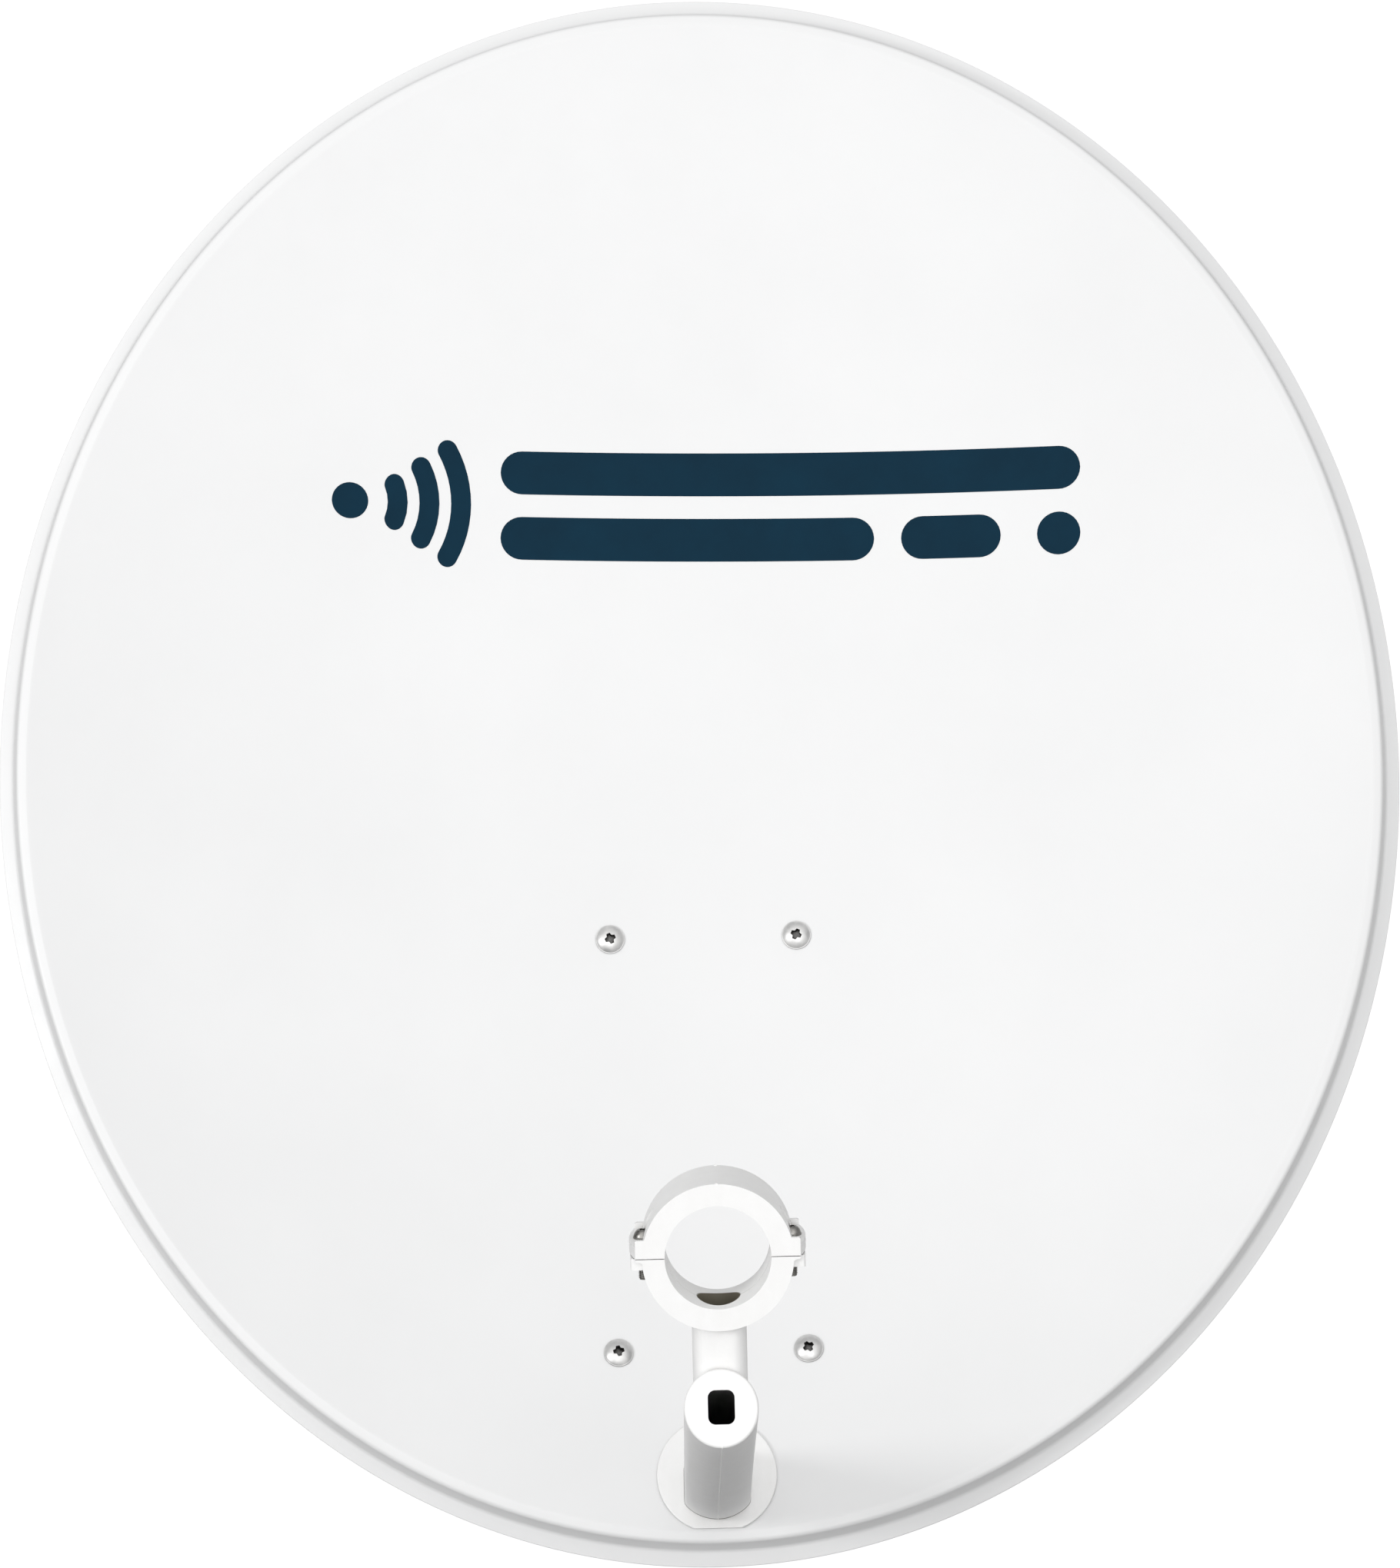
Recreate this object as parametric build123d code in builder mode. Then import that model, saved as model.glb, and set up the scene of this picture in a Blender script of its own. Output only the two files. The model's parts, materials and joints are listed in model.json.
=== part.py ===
from build123d import *

import os
from math import atan, atan2, cos, degrees, radians, sin, sqrt

os.makedirs("parts", exist_ok=True)

# Offset satellite dish on an elevation bracket and mast clamp. Millimetres, +Z up.
# The origin is the centre of the mast clamp, the mast stands along Z and the dish faces -Y.
# Dish pieces are drawn in the rim frame: X right, Y up the rim's long axis, Z out of the bowl,
# with its origin at the rim's centre. RIM sets that frame on the mast.

# ---- Reflector: part of a paraboloid whose lower edge lies just above the boresight axis
FOCAL = 352.2
HALF_WIDTH = 293.5  # half of the bowl's short axis, at its edge
LOWER_EDGE = 93.25  # from the boresight axis to the bowl's lower edge
SHEET = 1.2
MIDDLE = LOWER_EDGE + HALF_WIDTH
UPPER_EDGE = MIDDLE + HALF_WIDTH
TILT = degrees(atan(MIDDLE / (2 * FOCAL)))  # from the rim's normal to the boresight
SIN_T = sin(radians(TILT))
COS_T = cos(radians(TILT))
LONG_RATIO = 1 / COS_T  # the rim is an ellipse, longer along Y
RIM_CENTRE_Z = (LOWER_EDGE**2 + UPPER_EDGE**2) / (8 * FOCAL)
SECTOR = 120.0  # degrees of the paraboloid that the reflector is cut from
OVERSIZE = 20.0  # how far blanks run past what is cut from them
EDGE_TRIM = 0.15  # the sheet stops this far below the rim's crest
EDGE_LAP = 1.5  # the sheet runs this far into the rolled rim
ROLL_WIDE = 12.5  # the rolled rim's width, at the sides
ROLL_DEEP = 12.0  # and its depth

# ---- Screws that hold the reflector to the bracket
SCREW_X = 41.1
SCREW_UP = -68.6
SCREW_LOW = -254.7
SCREW_HOLE = 3.3
M6 = 3.0
SEAL = 1.0
SCREW_TURNS = (24, 64, 12, 33)  # degrees, how each cross recess came to rest
HEAD_GAP = 0.04  # a flat head touches the concave bowl at its edge only
M6_NUT = 5.0
M6_FLATS = 10.0
WASHER_R = 6.0
SEAL_R = 8.5
SEAL_SPARE = 0.02  # on each side of a seal

# ---- Back bracket: a channel behind the bowl
STEEL = 2.5
BRACKET_GAP = 10.0  # from the sheet to the web
WEB_HALF = 58.0
DIMPLE_R = 11.0
DIMPLE_FLARE = 6.3  # how much wider a dimple is at its foot
DIMPLE_DEEP = 14.0
HEEL_R = 20.0  # the web's lower end, round the arm
WEB_SLOT = (46.0, 22.0)
WEB_SLOT_STEP = 45.0
CHEEK_TOP = 50.0  # how far the cheek stops short of the upper screws
CHEEK_HEEL = 20.0  # and of the lower ones
CORNER_R = 2.0
PIVOT_DEEP = 72.0  # from the plane of the screws back to the elevation axis
LOCK_R = 48.0  # from the elevation axis to the lock bolts
BOSS_R = 13.0

# ---- Feed arm, an oval tube along Z of its own frame
ARM_LOW = -314.6
ARM_DROOP = 1.1  # degrees
ARM_LENGTH = 372.0
ARM_X = 14.1
ARM_Y = 14.9
ARM_FLAT = 8.0  # half the height of the arm's straight sides
ARM_ROUND = 4.0
ARM_WALL = 2.2
ARM_TIP_ROUND = 1.1
SPIGOT_X = 12.0
SPIGOT_Y = 13.0
SPIGOT_SPARE = 0.5
WINDOW = (10.1, 13.0)
WINDOW_ROUND = 2.8
WINDOW_UP = 0.45
ARM_SCREW_X = 7.0
ARM_SCREW_DEEP = 6.5
SEAM_GROOVE = 0.5  # where the two mould halves met, under the arm
DRAIN = (10.0, 9.0)
DRAIN_UP = 14.0
M5 = 2.5
M5_HEAD = 3.5
M5_FLATS = 8.0
SEAT_LIFT = 0.7  # the arm's foot stands this far off the bowl
ROSETTE_R = 25.7
ROSETTE_UP = -310.0
ROSETTE_FLAT = -333.5
ROSETTE_GAP = 0.55
ROSETTE_TOP = 2.4
ROSETTE_SPARE = 0.15  # round the arm

# ---- LNB clamp, round the feed's axis
NECK_R = 20.0
RING_R = 28.5
RING_HALF = 14.0
FEED_TILT = 22.8  # degrees, the clamp's axis from the rim's normal
RING_POS = (0, -261.6, 375.1)
SEAM = 0.15
PARTING = 0.3  # width and depth of the mould line in the bore
EAR_X = 28.0
EAR_OUT = 33.2  # half the width over the cap's bulged ears
EAR_LOW_OUT = 32.8  # and over the arm's ears
EAR_WALL = 1.6
EAR_BLOCK = 31.0  # half the width over the walls before and behind the screws
EAR_SEAT = 4.7  # from the seam's middle up to the screw heads
EAR_UP = 7.2  # and to the top of the walls
EAR_DOWN = 4.6
EAR_LIP = 1.2  # the arm's front wall, below the seam
EAR_ROUND = 3.0
HEAD_POCKET = 4.4
NUT_POCKET = 1.8
NUT_SPARE = 0.1
NUB = (1.6, 0.8)  # a gate mark on top of the ring
STALK_R = 10.3
STALK_FLAT = 3.2  # the stalk's sides are nearly flat
STALK_BORE = 8.2
STALK_LONG = 62.0
M4 = 2.0
M4_LONG = 16.0
M4_NUT = 3.2
M4_FLATS = 7.0

# ---- Mast bracket and clamp
MAST_R = 25.0
REST_LEAN = 10.0  # degrees, the rim leans back at rest
CUT_OUT = (40.0, 60.0)  # in the plate between the mast and the dish
CUT_OUT_ROUND = 6.0
PIVOT = (0, -85.0, 25.0)
LIFT_RANGE = (-20.0, 15.0)  # degrees of elevation from rest
PLATE = 3.0
CHEEK_GAP = 0.3
JAW_DEEP = 34.0
JAW_OPEN = 10.0  # from the mast's centre to each jaw's face
JAW_HALF = 48.0
JAW_TALL = 34.0
JAW_FLANGE = 22.0  # the moving jaw's nut seats, from the mast's centre
JAW_CREST = 27.0
CLAMP_X = 38.0
CLAMP_Z = 22.0
CLAMP_TAIL = 48.0
MAST_HALF_TALL = 50.0
SLOT_R = 4.3
SLOT_SPARE = 1.5  # degrees past each end of the travel
SLOT_WALL = 10.0
M8 = 4.0
M8_FLATS = 13.0
M8_HEAD = 5.3
M8_NUT = 6.5
WASHER = 1.6
CLEAR = 0.05
JAW_BEVEL = 3.0
CHAMFER = 0.12  # of a head's or a nut's height
TIP_CHAMFER = 0.2  # of a shank's radius
FLANGE = 0.25  # of a domed head's height
LIP = 0.1  # the step from a head's flange to its dome
DOME_BULGE = 0.35
DOME_RISE = 0.72  # how high the bulge is, of the dome's height
RECESS_WIDE = 0.3  # of a cross recess's length
RECESS_DEEP = 0.6  # of the head's height
RECESS_TAPER = 12.0  # degrees


def bowl_depth(x, y):
    """Z of the bowl's front at a point of the rim frame."""
    along = MIDDLE + y * COS_T
    b = 2 * along * SIN_T + 4 * FOCAL * COS_T
    c = along**2 + x**2 - 4 * FOCAL * (RIM_CENTRE_Z + y * SIN_T)
    return (b - sqrt(b**2 - 4 * SIN_T**2 * c)) / (2 * SIN_T**2)


def bowl_plane(x, y):
    """The plane that touches the bowl's front, its normal towards the feed."""
    z = bowl_depth(x, y)
    slope_x = x / (2 * FOCAL)
    slope_y = (MIDDLE + y * COS_T - z * SIN_T) / (2 * FOCAL)
    normal = Vector(-slope_x, SIN_T - slope_y * COS_T, COS_T + slope_y * SIN_T).normalized()
    sideways = (Vector(1, 0, 0) - normal * normal.X).normalized()
    return Plane(origin=(x, y, z), x_dir=sideways, z_dir=normal)


BORESIGHT = Plane(
    origin=(
        0,
        -MIDDLE * COS_T - RIM_CENTRE_Z * SIN_T,
        MIDDLE * SIN_T - RIM_CENTRE_Z * COS_T,
    ),
    x_dir=(1, 0, 0),
    z_dir=(0, SIN_T, COS_T),
)
SEATS = [bowl_plane(x, y) for y in (SCREW_UP, SCREW_LOW) for x in (-SCREW_X, SCREW_X)]
ARM_DIR = Vector(0, -sin(radians(ARM_DROOP)), cos(radians(ARM_DROOP)))
ARM = Plane(origin=(0, ARM_LOW, 0), x_dir=(1, 0, 0), z_dir=ARM_DIR)
FEED_DIR = Vector(0, -sin(radians(FEED_TILT)), cos(radians(FEED_TILT)))
RING = Plane(origin=RING_POS, x_dir=(1, 0, 0), z_dir=FEED_DIR)
RING_UP = Plane(origin=RING_POS, x_dir=(1, 0, 0), z_dir=RING.y_dir)
RING_DOWN = Plane(origin=RING_POS, x_dir=(1, 0, 0), z_dir=-RING.y_dir)
ARM_SEAT = bowl_plane(0, ARM_LOW)

# The bracket's web is parallel to the plane through the four screws.
SEAT_UP = Vector(0, SCREW_UP, SEATS[0].origin.Z)
SEAT_LOW = Vector(0, SCREW_LOW, SEATS[2].origin.Z)
CHORD = (SEAT_UP - SEAT_LOW).normalized()
CHEEK = Plane(origin=(SEAT_UP + SEAT_LOW) * 0.5, x_dir=CHORD, z_dir=(1, 0, 0))
WEB = Plane(origin=CHEEK.origin, x_dir=(1, 0, 0), z_dir=CHEEK.y_dir)
WEB_FRONT = -SHEET - BRACKET_GAP
WEB_BACK = WEB_FRONT - STEEL
SPAN = (SCREW_UP - SCREW_LOW) / 2 / CHORD.Y  # from the web's centre to each pair of screws
ARM_ON_WEB = WEB.to_local_coords(ARM.origin + ARM_DIR * (WEB.origin.Z + WEB_FRONT)).Y

# The rim frame in the part's own frame, from where the elevation axis is in both.
PIVOT_IN_RIM = CHEEK.from_local_coords(Vector(0, -PIVOT_DEEP, 0))
RIM_UP = Vector(0, sin(radians(REST_LEAN)), cos(radians(REST_LEAN)))
RIM_OUT = Vector(0, -cos(radians(REST_LEAN)), sin(radians(REST_LEAN)))
RIM = Plane(
    origin=Vector(*PIVOT) - RIM_UP * PIVOT_IN_RIM.Y - RIM_OUT * PIVOT_IN_RIM.Z,
    x_dir=(1, 0, 0),
    z_dir=RIM_OUT,
)


def write(piece, label, frame=None):
    """Labels a finished piece and writes it, set on the mast if it was drawn in the rim frame."""
    if frame is not None:
        piece.part.location = frame.location * piece.part.location
    piece.part.label = label
    export_step(piece.part, f"parts/{label}.step")


def hex_bolt(radius, length, flats, head):
    """A hexagon bolt: the head stands on XY, the shank points down."""
    with BuildPart() as bolt:
        with BuildSketch():
            RegularPolygon(radius=flats / 2, side_count=6, major_radius=False)
        extrude(amount=head)
        chamfer(bolt.faces().sort_by(Axis.Z)[-1].edges(), head * CHAMFER)
        with BuildSketch():
            Circle(radius)
        extrude(amount=-length)
        chamfer(bolt.faces().sort_by(Axis.Z)[0].edges(), radius * TIP_CHAMFER)
    return bolt.part


def hex_nut(radius, flats, height):
    """A hexagon nut whose seat is on XY and whose body hangs below it."""
    with BuildPart() as nut:
        with BuildSketch():
            RegularPolygon(radius=flats / 2, side_count=6, major_radius=False)
        extrude(amount=-height)
        chamfer(nut.faces().sort_by(Axis.Z)[0].edges(), height * CHAMFER)
        with BuildSketch():
            Circle(radius + CLEAR)
        extrude(amount=-height, mode=Mode.SUBTRACT)
    return nut.part


def flat_washer(radius, outer, thick):
    """A washer that hangs below XY."""
    with BuildPart() as washer:
        with BuildSketch():
            Circle(outer)
            Circle(radius + 2 * CLEAR, mode=Mode.SUBTRACT)
        extrude(amount=-thick)
    return washer.part


def cross_screw(head_r, dome_r, top_r, height, radius, length, recess):
    """A cross-recess screw: a flanged dome with a flat top on XY, the shank pointing down."""
    flange = height * FLANGE
    with BuildPart() as screw:
        with BuildSketch(Plane.XZ):
            with BuildLine():
                Polyline((0, 0), (head_r, 0), (head_r, flange), (dome_r, flange + LIP))
                ThreePointArc(
                    (dome_r, flange + LIP),
                    ((dome_r + top_r) / 2 + DOME_BULGE, flange + (height - flange) * DOME_RISE),
                    (top_r, height),
                )
                Polyline((top_r, height), (0, height), (0, 0))
            make_face()
        revolve(axis=Axis.Z)
        with BuildSketch(Plane.XY.offset(height)):
            Rectangle(recess, recess * RECESS_WIDE)
            Rectangle(recess * RECESS_WIDE, recess)
        extrude(amount=-height * RECESS_DEEP, taper=RECESS_TAPER, mode=Mode.SUBTRACT)
        with BuildSketch():
            Circle(radius)
        extrude(amount=-length)
        chamfer(screw.faces().sort_by(Axis.Z)[0].edges(), radius * TIP_CHAMFER)
    return screw.part


def placed(piece, planes):
    """One node of separate copies of a piece, one on each plane."""
    with BuildPart() as group:
        for plane in planes:
            add(piece.moved(plane.location))
    return group


# ==== Dish, drawn in the rim frame ====

# The rolled rim: over the crest, down a steep wall and out to a narrow flange.
with BuildPart() as rolled_rim:
    with BuildSketch(Plane.XZ):
        with BuildLine():
            FilletPolyline(
                (HALF_WIDTH - EDGE_LAP, -1.1),
                (HALF_WIDTH, 0),
                (HALF_WIDTH + 4.2, -0.5),
                (HALF_WIDTH + 6.4, -9.3),
                (HALF_WIDTH + ROLL_WIDE, -ROLL_DEEP),
                (HALF_WIDTH + ROLL_WIDE, -ROLL_DEEP - SHEET),
                (HALF_WIDTH + 5.3, -10.4),
                (HALF_WIDTH + 3.1, -1.8),
                (HALF_WIDTH, -1.5),
                radius=[0, 0.3, 2.2, 2.2, 0, 0, 3.2, 1.1, 0],
                close=True,
            )
        make_face()
    revolve(axis=Axis.Z)
    scale(by=(1, LONG_RATIO, 1))

half_sector = radians(SECTOR / 2)
start = BORESIGHT.y_dir * cos(half_sector) + BORESIGHT.x_dir * sin(half_sector)
meridian = Plane(
    origin=BORESIGHT.origin,
    x_dir=start,
    z_dir=start.cross(BORESIGHT.z_dir),
)
r_in = LOWER_EDGE - OVERSIZE / 2
r_out = UPPER_EDGE + OVERSIZE
front = 1 / (4 * FOCAL)
back = front - SHEET / (8 * FOCAL**2)

with BuildPart() as reflector:
    with BuildSketch(meridian):
        with BuildLine():
            Bezier(
                (r_in, front * r_in**2),
                ((r_in + r_out) / 2, front * r_in * r_out),
                (r_out, front * r_out**2),
            )
            Line((r_out, front * r_out**2), (r_out, back * r_out**2 - SHEET))
            Bezier(
                (r_out, back * r_out**2 - SHEET),
                ((r_in + r_out) / 2, back * r_in * r_out - SHEET),
                (r_in, back * r_in**2 - SHEET),
            )
            Line((r_in, back * r_in**2 - SHEET), (r_in, front * r_in**2))
        make_face()
    revolve(axis=Axis(BORESIGHT.origin, BORESIGHT.z_dir), revolution_arc=SECTOR)
    split(bisect_by=Plane.XY.offset(-EDGE_TRIM), keep=Keep.BOTTOM)
    with BuildSketch(Plane.XY.offset(-90)):
        Ellipse(HALF_WIDTH + EDGE_LAP, (HALF_WIDTH + EDGE_LAP) * LONG_RATIO)
    extrude(amount=90, mode=Mode.INTERSECT)
    for seat in SEATS:
        with BuildSketch(seat.offset(-5)):
            Circle(SCREW_HOLE)
        extrude(amount=10, mode=Mode.SUBTRACT)
    with BuildSketch(ARM.offset(-30)):
        Ellipse(SPIGOT_X + SPIGOT_SPARE, SPIGOT_Y + SPIGOT_SPARE)
    extrude(amount=45, mode=Mode.SUBTRACT)
    add(rolled_rim.part)
write(reflector, "reflector", RIM)

# Screws, seals, washers and nuts along each seat's normal, front to back.
pad = SHEET + SEAL
pad_back = pad + STEEL
screw = cross_screw(6.4, 5.8, 3.6, 2.9, M6, pad_back + WASHER + M6_NUT + 2, 4.7)
with BuildPart() as reflector_screws:
    for seat, turn in zip(SEATS, SCREW_TURNS):
        add(screw.moved(seat.offset(HEAD_GAP).location * Location((0, 0, 0), (0, 0, turn))))
write(reflector_screws, "reflector_screws", RIM)

seal = flat_washer(M6, SEAL_R, SEAL - 2 * SEAL_SPARE)
seal_washers = placed(seal, [seat.offset(-SHEET - SEAL_SPARE) for seat in SEATS])
write(seal_washers, "seal_washers", RIM)

m6_washer = flat_washer(M6, WASHER_R, WASHER)
bracket_washers = placed(m6_washer, [seat.offset(-pad_back) for seat in SEATS])
write(bracket_washers, "bracket_washers", RIM)

m6_nut = hex_nut(M6, M6_FLATS, M6_NUT)
bracket_nuts = placed(m6_nut, [seat.offset(-pad_back - WASHER) for seat in SEATS])
write(bracket_nuts, "bracket_nuts", RIM)

# Back bracket: web with four dimples up to the bowl, and two cheeks back to the pivot.
with BuildPart() as back_bracket:
    with BuildSketch(WEB.offset(WEB_BACK)):
        with Locations((-SCREW_X, SPAN), (SCREW_X, SPAN), (-SCREW_X, -SPAN), (SCREW_X, -SPAN)):
            Circle(WEB_HALF - SCREW_X)
        with Locations((0, ARM_ON_WEB)):
            Circle(HEEL_R)
        make_hull()
    extrude(amount=STEEL)
    for seat in SEATS:
        with Locations(seat.offset(-pad - DIMPLE_DEEP / 2).location):
            Cone(DIMPLE_R + DIMPLE_FLARE, DIMPLE_R, DIMPLE_DEEP)
    split(bisect_by=WEB.offset(WEB_BACK), keep=Keep.TOP)
    for seat in SEATS:
        with Locations(seat.offset(-pad - STEEL - DIMPLE_DEEP / 2).location):
            Cone(
                DIMPLE_R + DIMPLE_FLARE - STEEL,
                DIMPLE_R - STEEL,
                DIMPLE_DEEP,
                mode=Mode.SUBTRACT,
            )
        with BuildSketch(seat.offset(-pad - 4)):
            Circle(SCREW_HOLE)
        extrude(amount=8, mode=Mode.SUBTRACT)
        with BuildSketch(seat.offset(-pad)):
            Circle(DIMPLE_R + 8)
        extrude(amount=6, mode=Mode.SUBTRACT)
    with BuildSketch(WEB.offset(WEB_BACK - 1)):
        with Locations((-ARM_SCREW_X, ARM_ON_WEB), (ARM_SCREW_X, ARM_ON_WEB)):
            Circle(M5 + 4 * CLEAR)
        with Locations((0, 0), (0, WEB_SLOT_STEP), (0, -WEB_SLOT_STEP)):
            SlotOverall(*WEB_SLOT)
    extrude(amount=STEEL + 2, mode=Mode.SUBTRACT)
    for side in (-1, 1):
        with BuildSketch(CHEEK.offset(side * WEB_HALF)):
            with Locations((CHEEK_HEEL - SPAN, WEB_BACK), (SPAN - CHEEK_TOP, WEB_BACK)):
                Circle(CORNER_R)
            with Locations((0, -PIVOT_DEEP), (-LOCK_R, -PIVOT_DEEP)):
                Circle(BOSS_R)
            make_hull()
            with Locations((0, -PIVOT_DEEP)):
                Circle(M8 + CLEAR, mode=Mode.SUBTRACT)
            with Locations((-LOCK_R, -PIVOT_DEEP)):
                Circle(M8 + 2 * CLEAR, mode=Mode.SUBTRACT)
        extrude(amount=-side * STEEL)
write(back_bracket, "back_bracket", RIM)

# The arm's section: flat sides, arched top and bottom, soft corners.
with BuildSketch() as arm_section:
    with BuildLine():
        Line((ARM_X, -ARM_FLAT), (ARM_X, ARM_FLAT))
        ThreePointArc((ARM_X, ARM_FLAT), (0, ARM_Y), (-ARM_X, ARM_FLAT))
        Line((-ARM_X, ARM_FLAT), (-ARM_X, -ARM_FLAT))
        ThreePointArc((-ARM_X, -ARM_FLAT), (0, -ARM_Y), (ARM_X, -ARM_FLAT))
    make_face()
    fillet(arm_section.vertices(), ARM_ROUND)

# Feed arm: tube, spigot through the bowl, hollow stalk and lower half of the neck clamp.
arm_end = ARM.offset(ARM_LENGTH)
with BuildPart() as feed_arm:
    with BuildSketch(ARM.offset(-OVERSIZE)):
        add(arm_section.sketch)
    extrude(amount=ARM_LENGTH + OVERSIZE)
    fillet(feed_arm.faces().sort_by(Axis.Z)[-1].edges(), ARM_TIP_ROUND)
    with BuildSketch(ARM.offset(OVERSIZE)):
        with Locations((0, -ARM_Y)):
            Rectangle(SEAM_GROOVE, SEAM_GROOVE)
    extrude(amount=ARM_LENGTH, mode=Mode.SUBTRACT)
    split(bisect_by=ARM_SEAT.offset(SEAT_LIFT), keep=Keep.TOP)
    with BuildSketch(ARM.offset(-60)):
        Ellipse(SPIGOT_X, SPIGOT_Y)
    extrude(amount=80)
    split(bisect_by=WEB.offset(WEB_FRONT), keep=Keep.TOP)
    with BuildSketch(RING.offset(-RING_HALF)):
        Circle(RING_R)
        with Locations((0, RING_R)):
            Rectangle(2 * RING_R, 2 * RING_R + 2 * SEAM, mode=Mode.SUBTRACT)
    extrude(amount=2 * RING_HALF)
    with BuildSketch(RING.offset(RING_HALF - EAR_WALL)):
        with BuildLine():
            FilletPolyline(
                (EAR_BLOCK, -SEAM),
                (EAR_BLOCK, -EAR_LIP),
                (RING_R - EAR_LIP, -EAR_LIP),
                (RING_R - EAR_LIP, -2 * EAR_ROUND),
                (EAR_LIP - RING_R, -2 * EAR_ROUND),
                (EAR_LIP - RING_R, -EAR_LIP),
                (-EAR_BLOCK, -EAR_LIP),
                (-EAR_BLOCK, -SEAM),
                radius=[0, EAR_LIP / 2, EAR_ROUND, 0, 0, EAR_ROUND, EAR_LIP / 2, 0],
                close=True,
            )
        make_face()
    extrude(amount=EAR_WALL)
    with BuildSketch(RING_DOWN.offset(SEAM)):
        RectangleRounded(2 * EAR_LOW_OUT, 2 * (RING_HALF - EAR_WALL), 1)
    extrude(amount=EAR_DOWN - SEAM)
    with BuildSketch(RING_DOWN.offset(NECK_R)):
        RectangleRounded(2 * STALK_R, 2 * STALK_R, STALK_R - STALK_FLAT)
    extrude(amount=STALK_LONG - NECK_R)
    with BuildSketch(ARM.offset(-OVERSIZE)):
        add(arm_section.sketch)
        offset(amount=-ARM_WALL, mode=Mode.REPLACE)
    extrude(amount=ARM_LENGTH + OVERSIZE - ARM_WALL, mode=Mode.SUBTRACT)
    with BuildSketch(arm_end.offset(-OVERSIZE)):
        with Locations((0, WINDOW_UP)):
            RectangleRounded(*WINDOW, WINDOW_ROUND)
    extrude(amount=2 * OVERSIZE, mode=Mode.SUBTRACT)
    with BuildSketch(RING.offset(-RING_HALF - 1)):
        Circle(NECK_R)
    extrude(amount=2 * RING_HALF + 2, mode=Mode.SUBTRACT)
    with BuildSketch(RING.offset(-PARTING / 2)):
        Circle(NECK_R + PARTING)
    extrude(amount=PARTING, mode=Mode.SUBTRACT)
    with BuildSketch(RING_DOWN):
        Circle(STALK_BORE)
        with Locations((-EAR_X, 0), (EAR_X, 0)):
            Circle(M4 + 4 * CLEAR)
    extrude(amount=STALK_LONG, mode=Mode.SUBTRACT)
    with BuildSketch(RING_DOWN.offset(EAR_DOWN - NUT_POCKET)):
        with Locations((-EAR_X, 0), (EAR_X, 0)):
            RegularPolygon(radius=M4_FLATS / 2 + NUT_SPARE, side_count=6, major_radius=False)
    extrude(amount=M4_NUT, mode=Mode.SUBTRACT)
    with BuildSketch(WEB.offset(WEB_FRONT - 1)):
        with Locations((-ARM_SCREW_X, ARM_ON_WEB), (ARM_SCREW_X, ARM_ON_WEB)):
            Circle(M5 + CLEAR)
    extrude(amount=ARM_SCREW_DEEP + 2, mode=Mode.SUBTRACT)
    with BuildSketch(Plane(origin=(0, ARM_LOW, 0), x_dir=(1, 0, 0), z_dir=(0, -1, 0))):
        with Locations((0, -DRAIN_UP)):
            RectangleRounded(*DRAIN, 3)
    extrude(amount=20, mode=Mode.SUBTRACT)
write(feed_arm, "feed_arm", RIM)

arm_screw = hex_bolt(M5, STEEL + ARM_SCREW_DEEP, M5_FLATS, M5_HEAD)
web_behind = Plane(origin=WEB.offset(WEB_BACK).origin, x_dir=(1, 0, 0), z_dir=-WEB.z_dir)
arm_screws = placed(
    arm_screw,
    [
        Plane(
            origin=web_behind.from_local_coords(Vector(x, -ARM_ON_WEB, 0)),
            x_dir=(1, 0, 0),
            z_dir=web_behind.z_dir,
        )
        for x in (-ARM_SCREW_X, ARM_SCREW_X)
    ],
)
write(arm_screws, "arm_screws", RIM)

# Cover plate round the arm, a little proud of the bowl.
rosette_plane = bowl_plane(0, ROSETTE_UP)
with BuildPart() as arm_rosette:
    with BuildSketch(Plane.XY.offset(-40)):
        with Locations((0, ROSETTE_UP)):
            Circle(ROSETTE_R)
        with Locations((0, ROSETTE_FLAT - ROSETTE_R)):
            Rectangle(2 * ROSETTE_R, 2 * ROSETTE_R, mode=Mode.SUBTRACT)
    extrude(amount=60)
    split(bisect_by=rosette_plane.offset(ROSETTE_GAP), keep=Keep.TOP)
    split(bisect_by=rosette_plane.offset(ROSETTE_TOP), keep=Keep.BOTTOM)
    fillet(arm_rosette.faces().sort_by(Axis((0, 0, 0), rosette_plane.z_dir))[-1].edges(), 0.6)
    with BuildSketch(ARM.offset(-60)):
        add(arm_section.sketch)
        offset(amount=ROSETTE_SPARE, mode=Mode.REPLACE)
    extrude(amount=90, mode=Mode.SUBTRACT)
write(arm_rosette, "arm_rosette", RIM)

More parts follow.
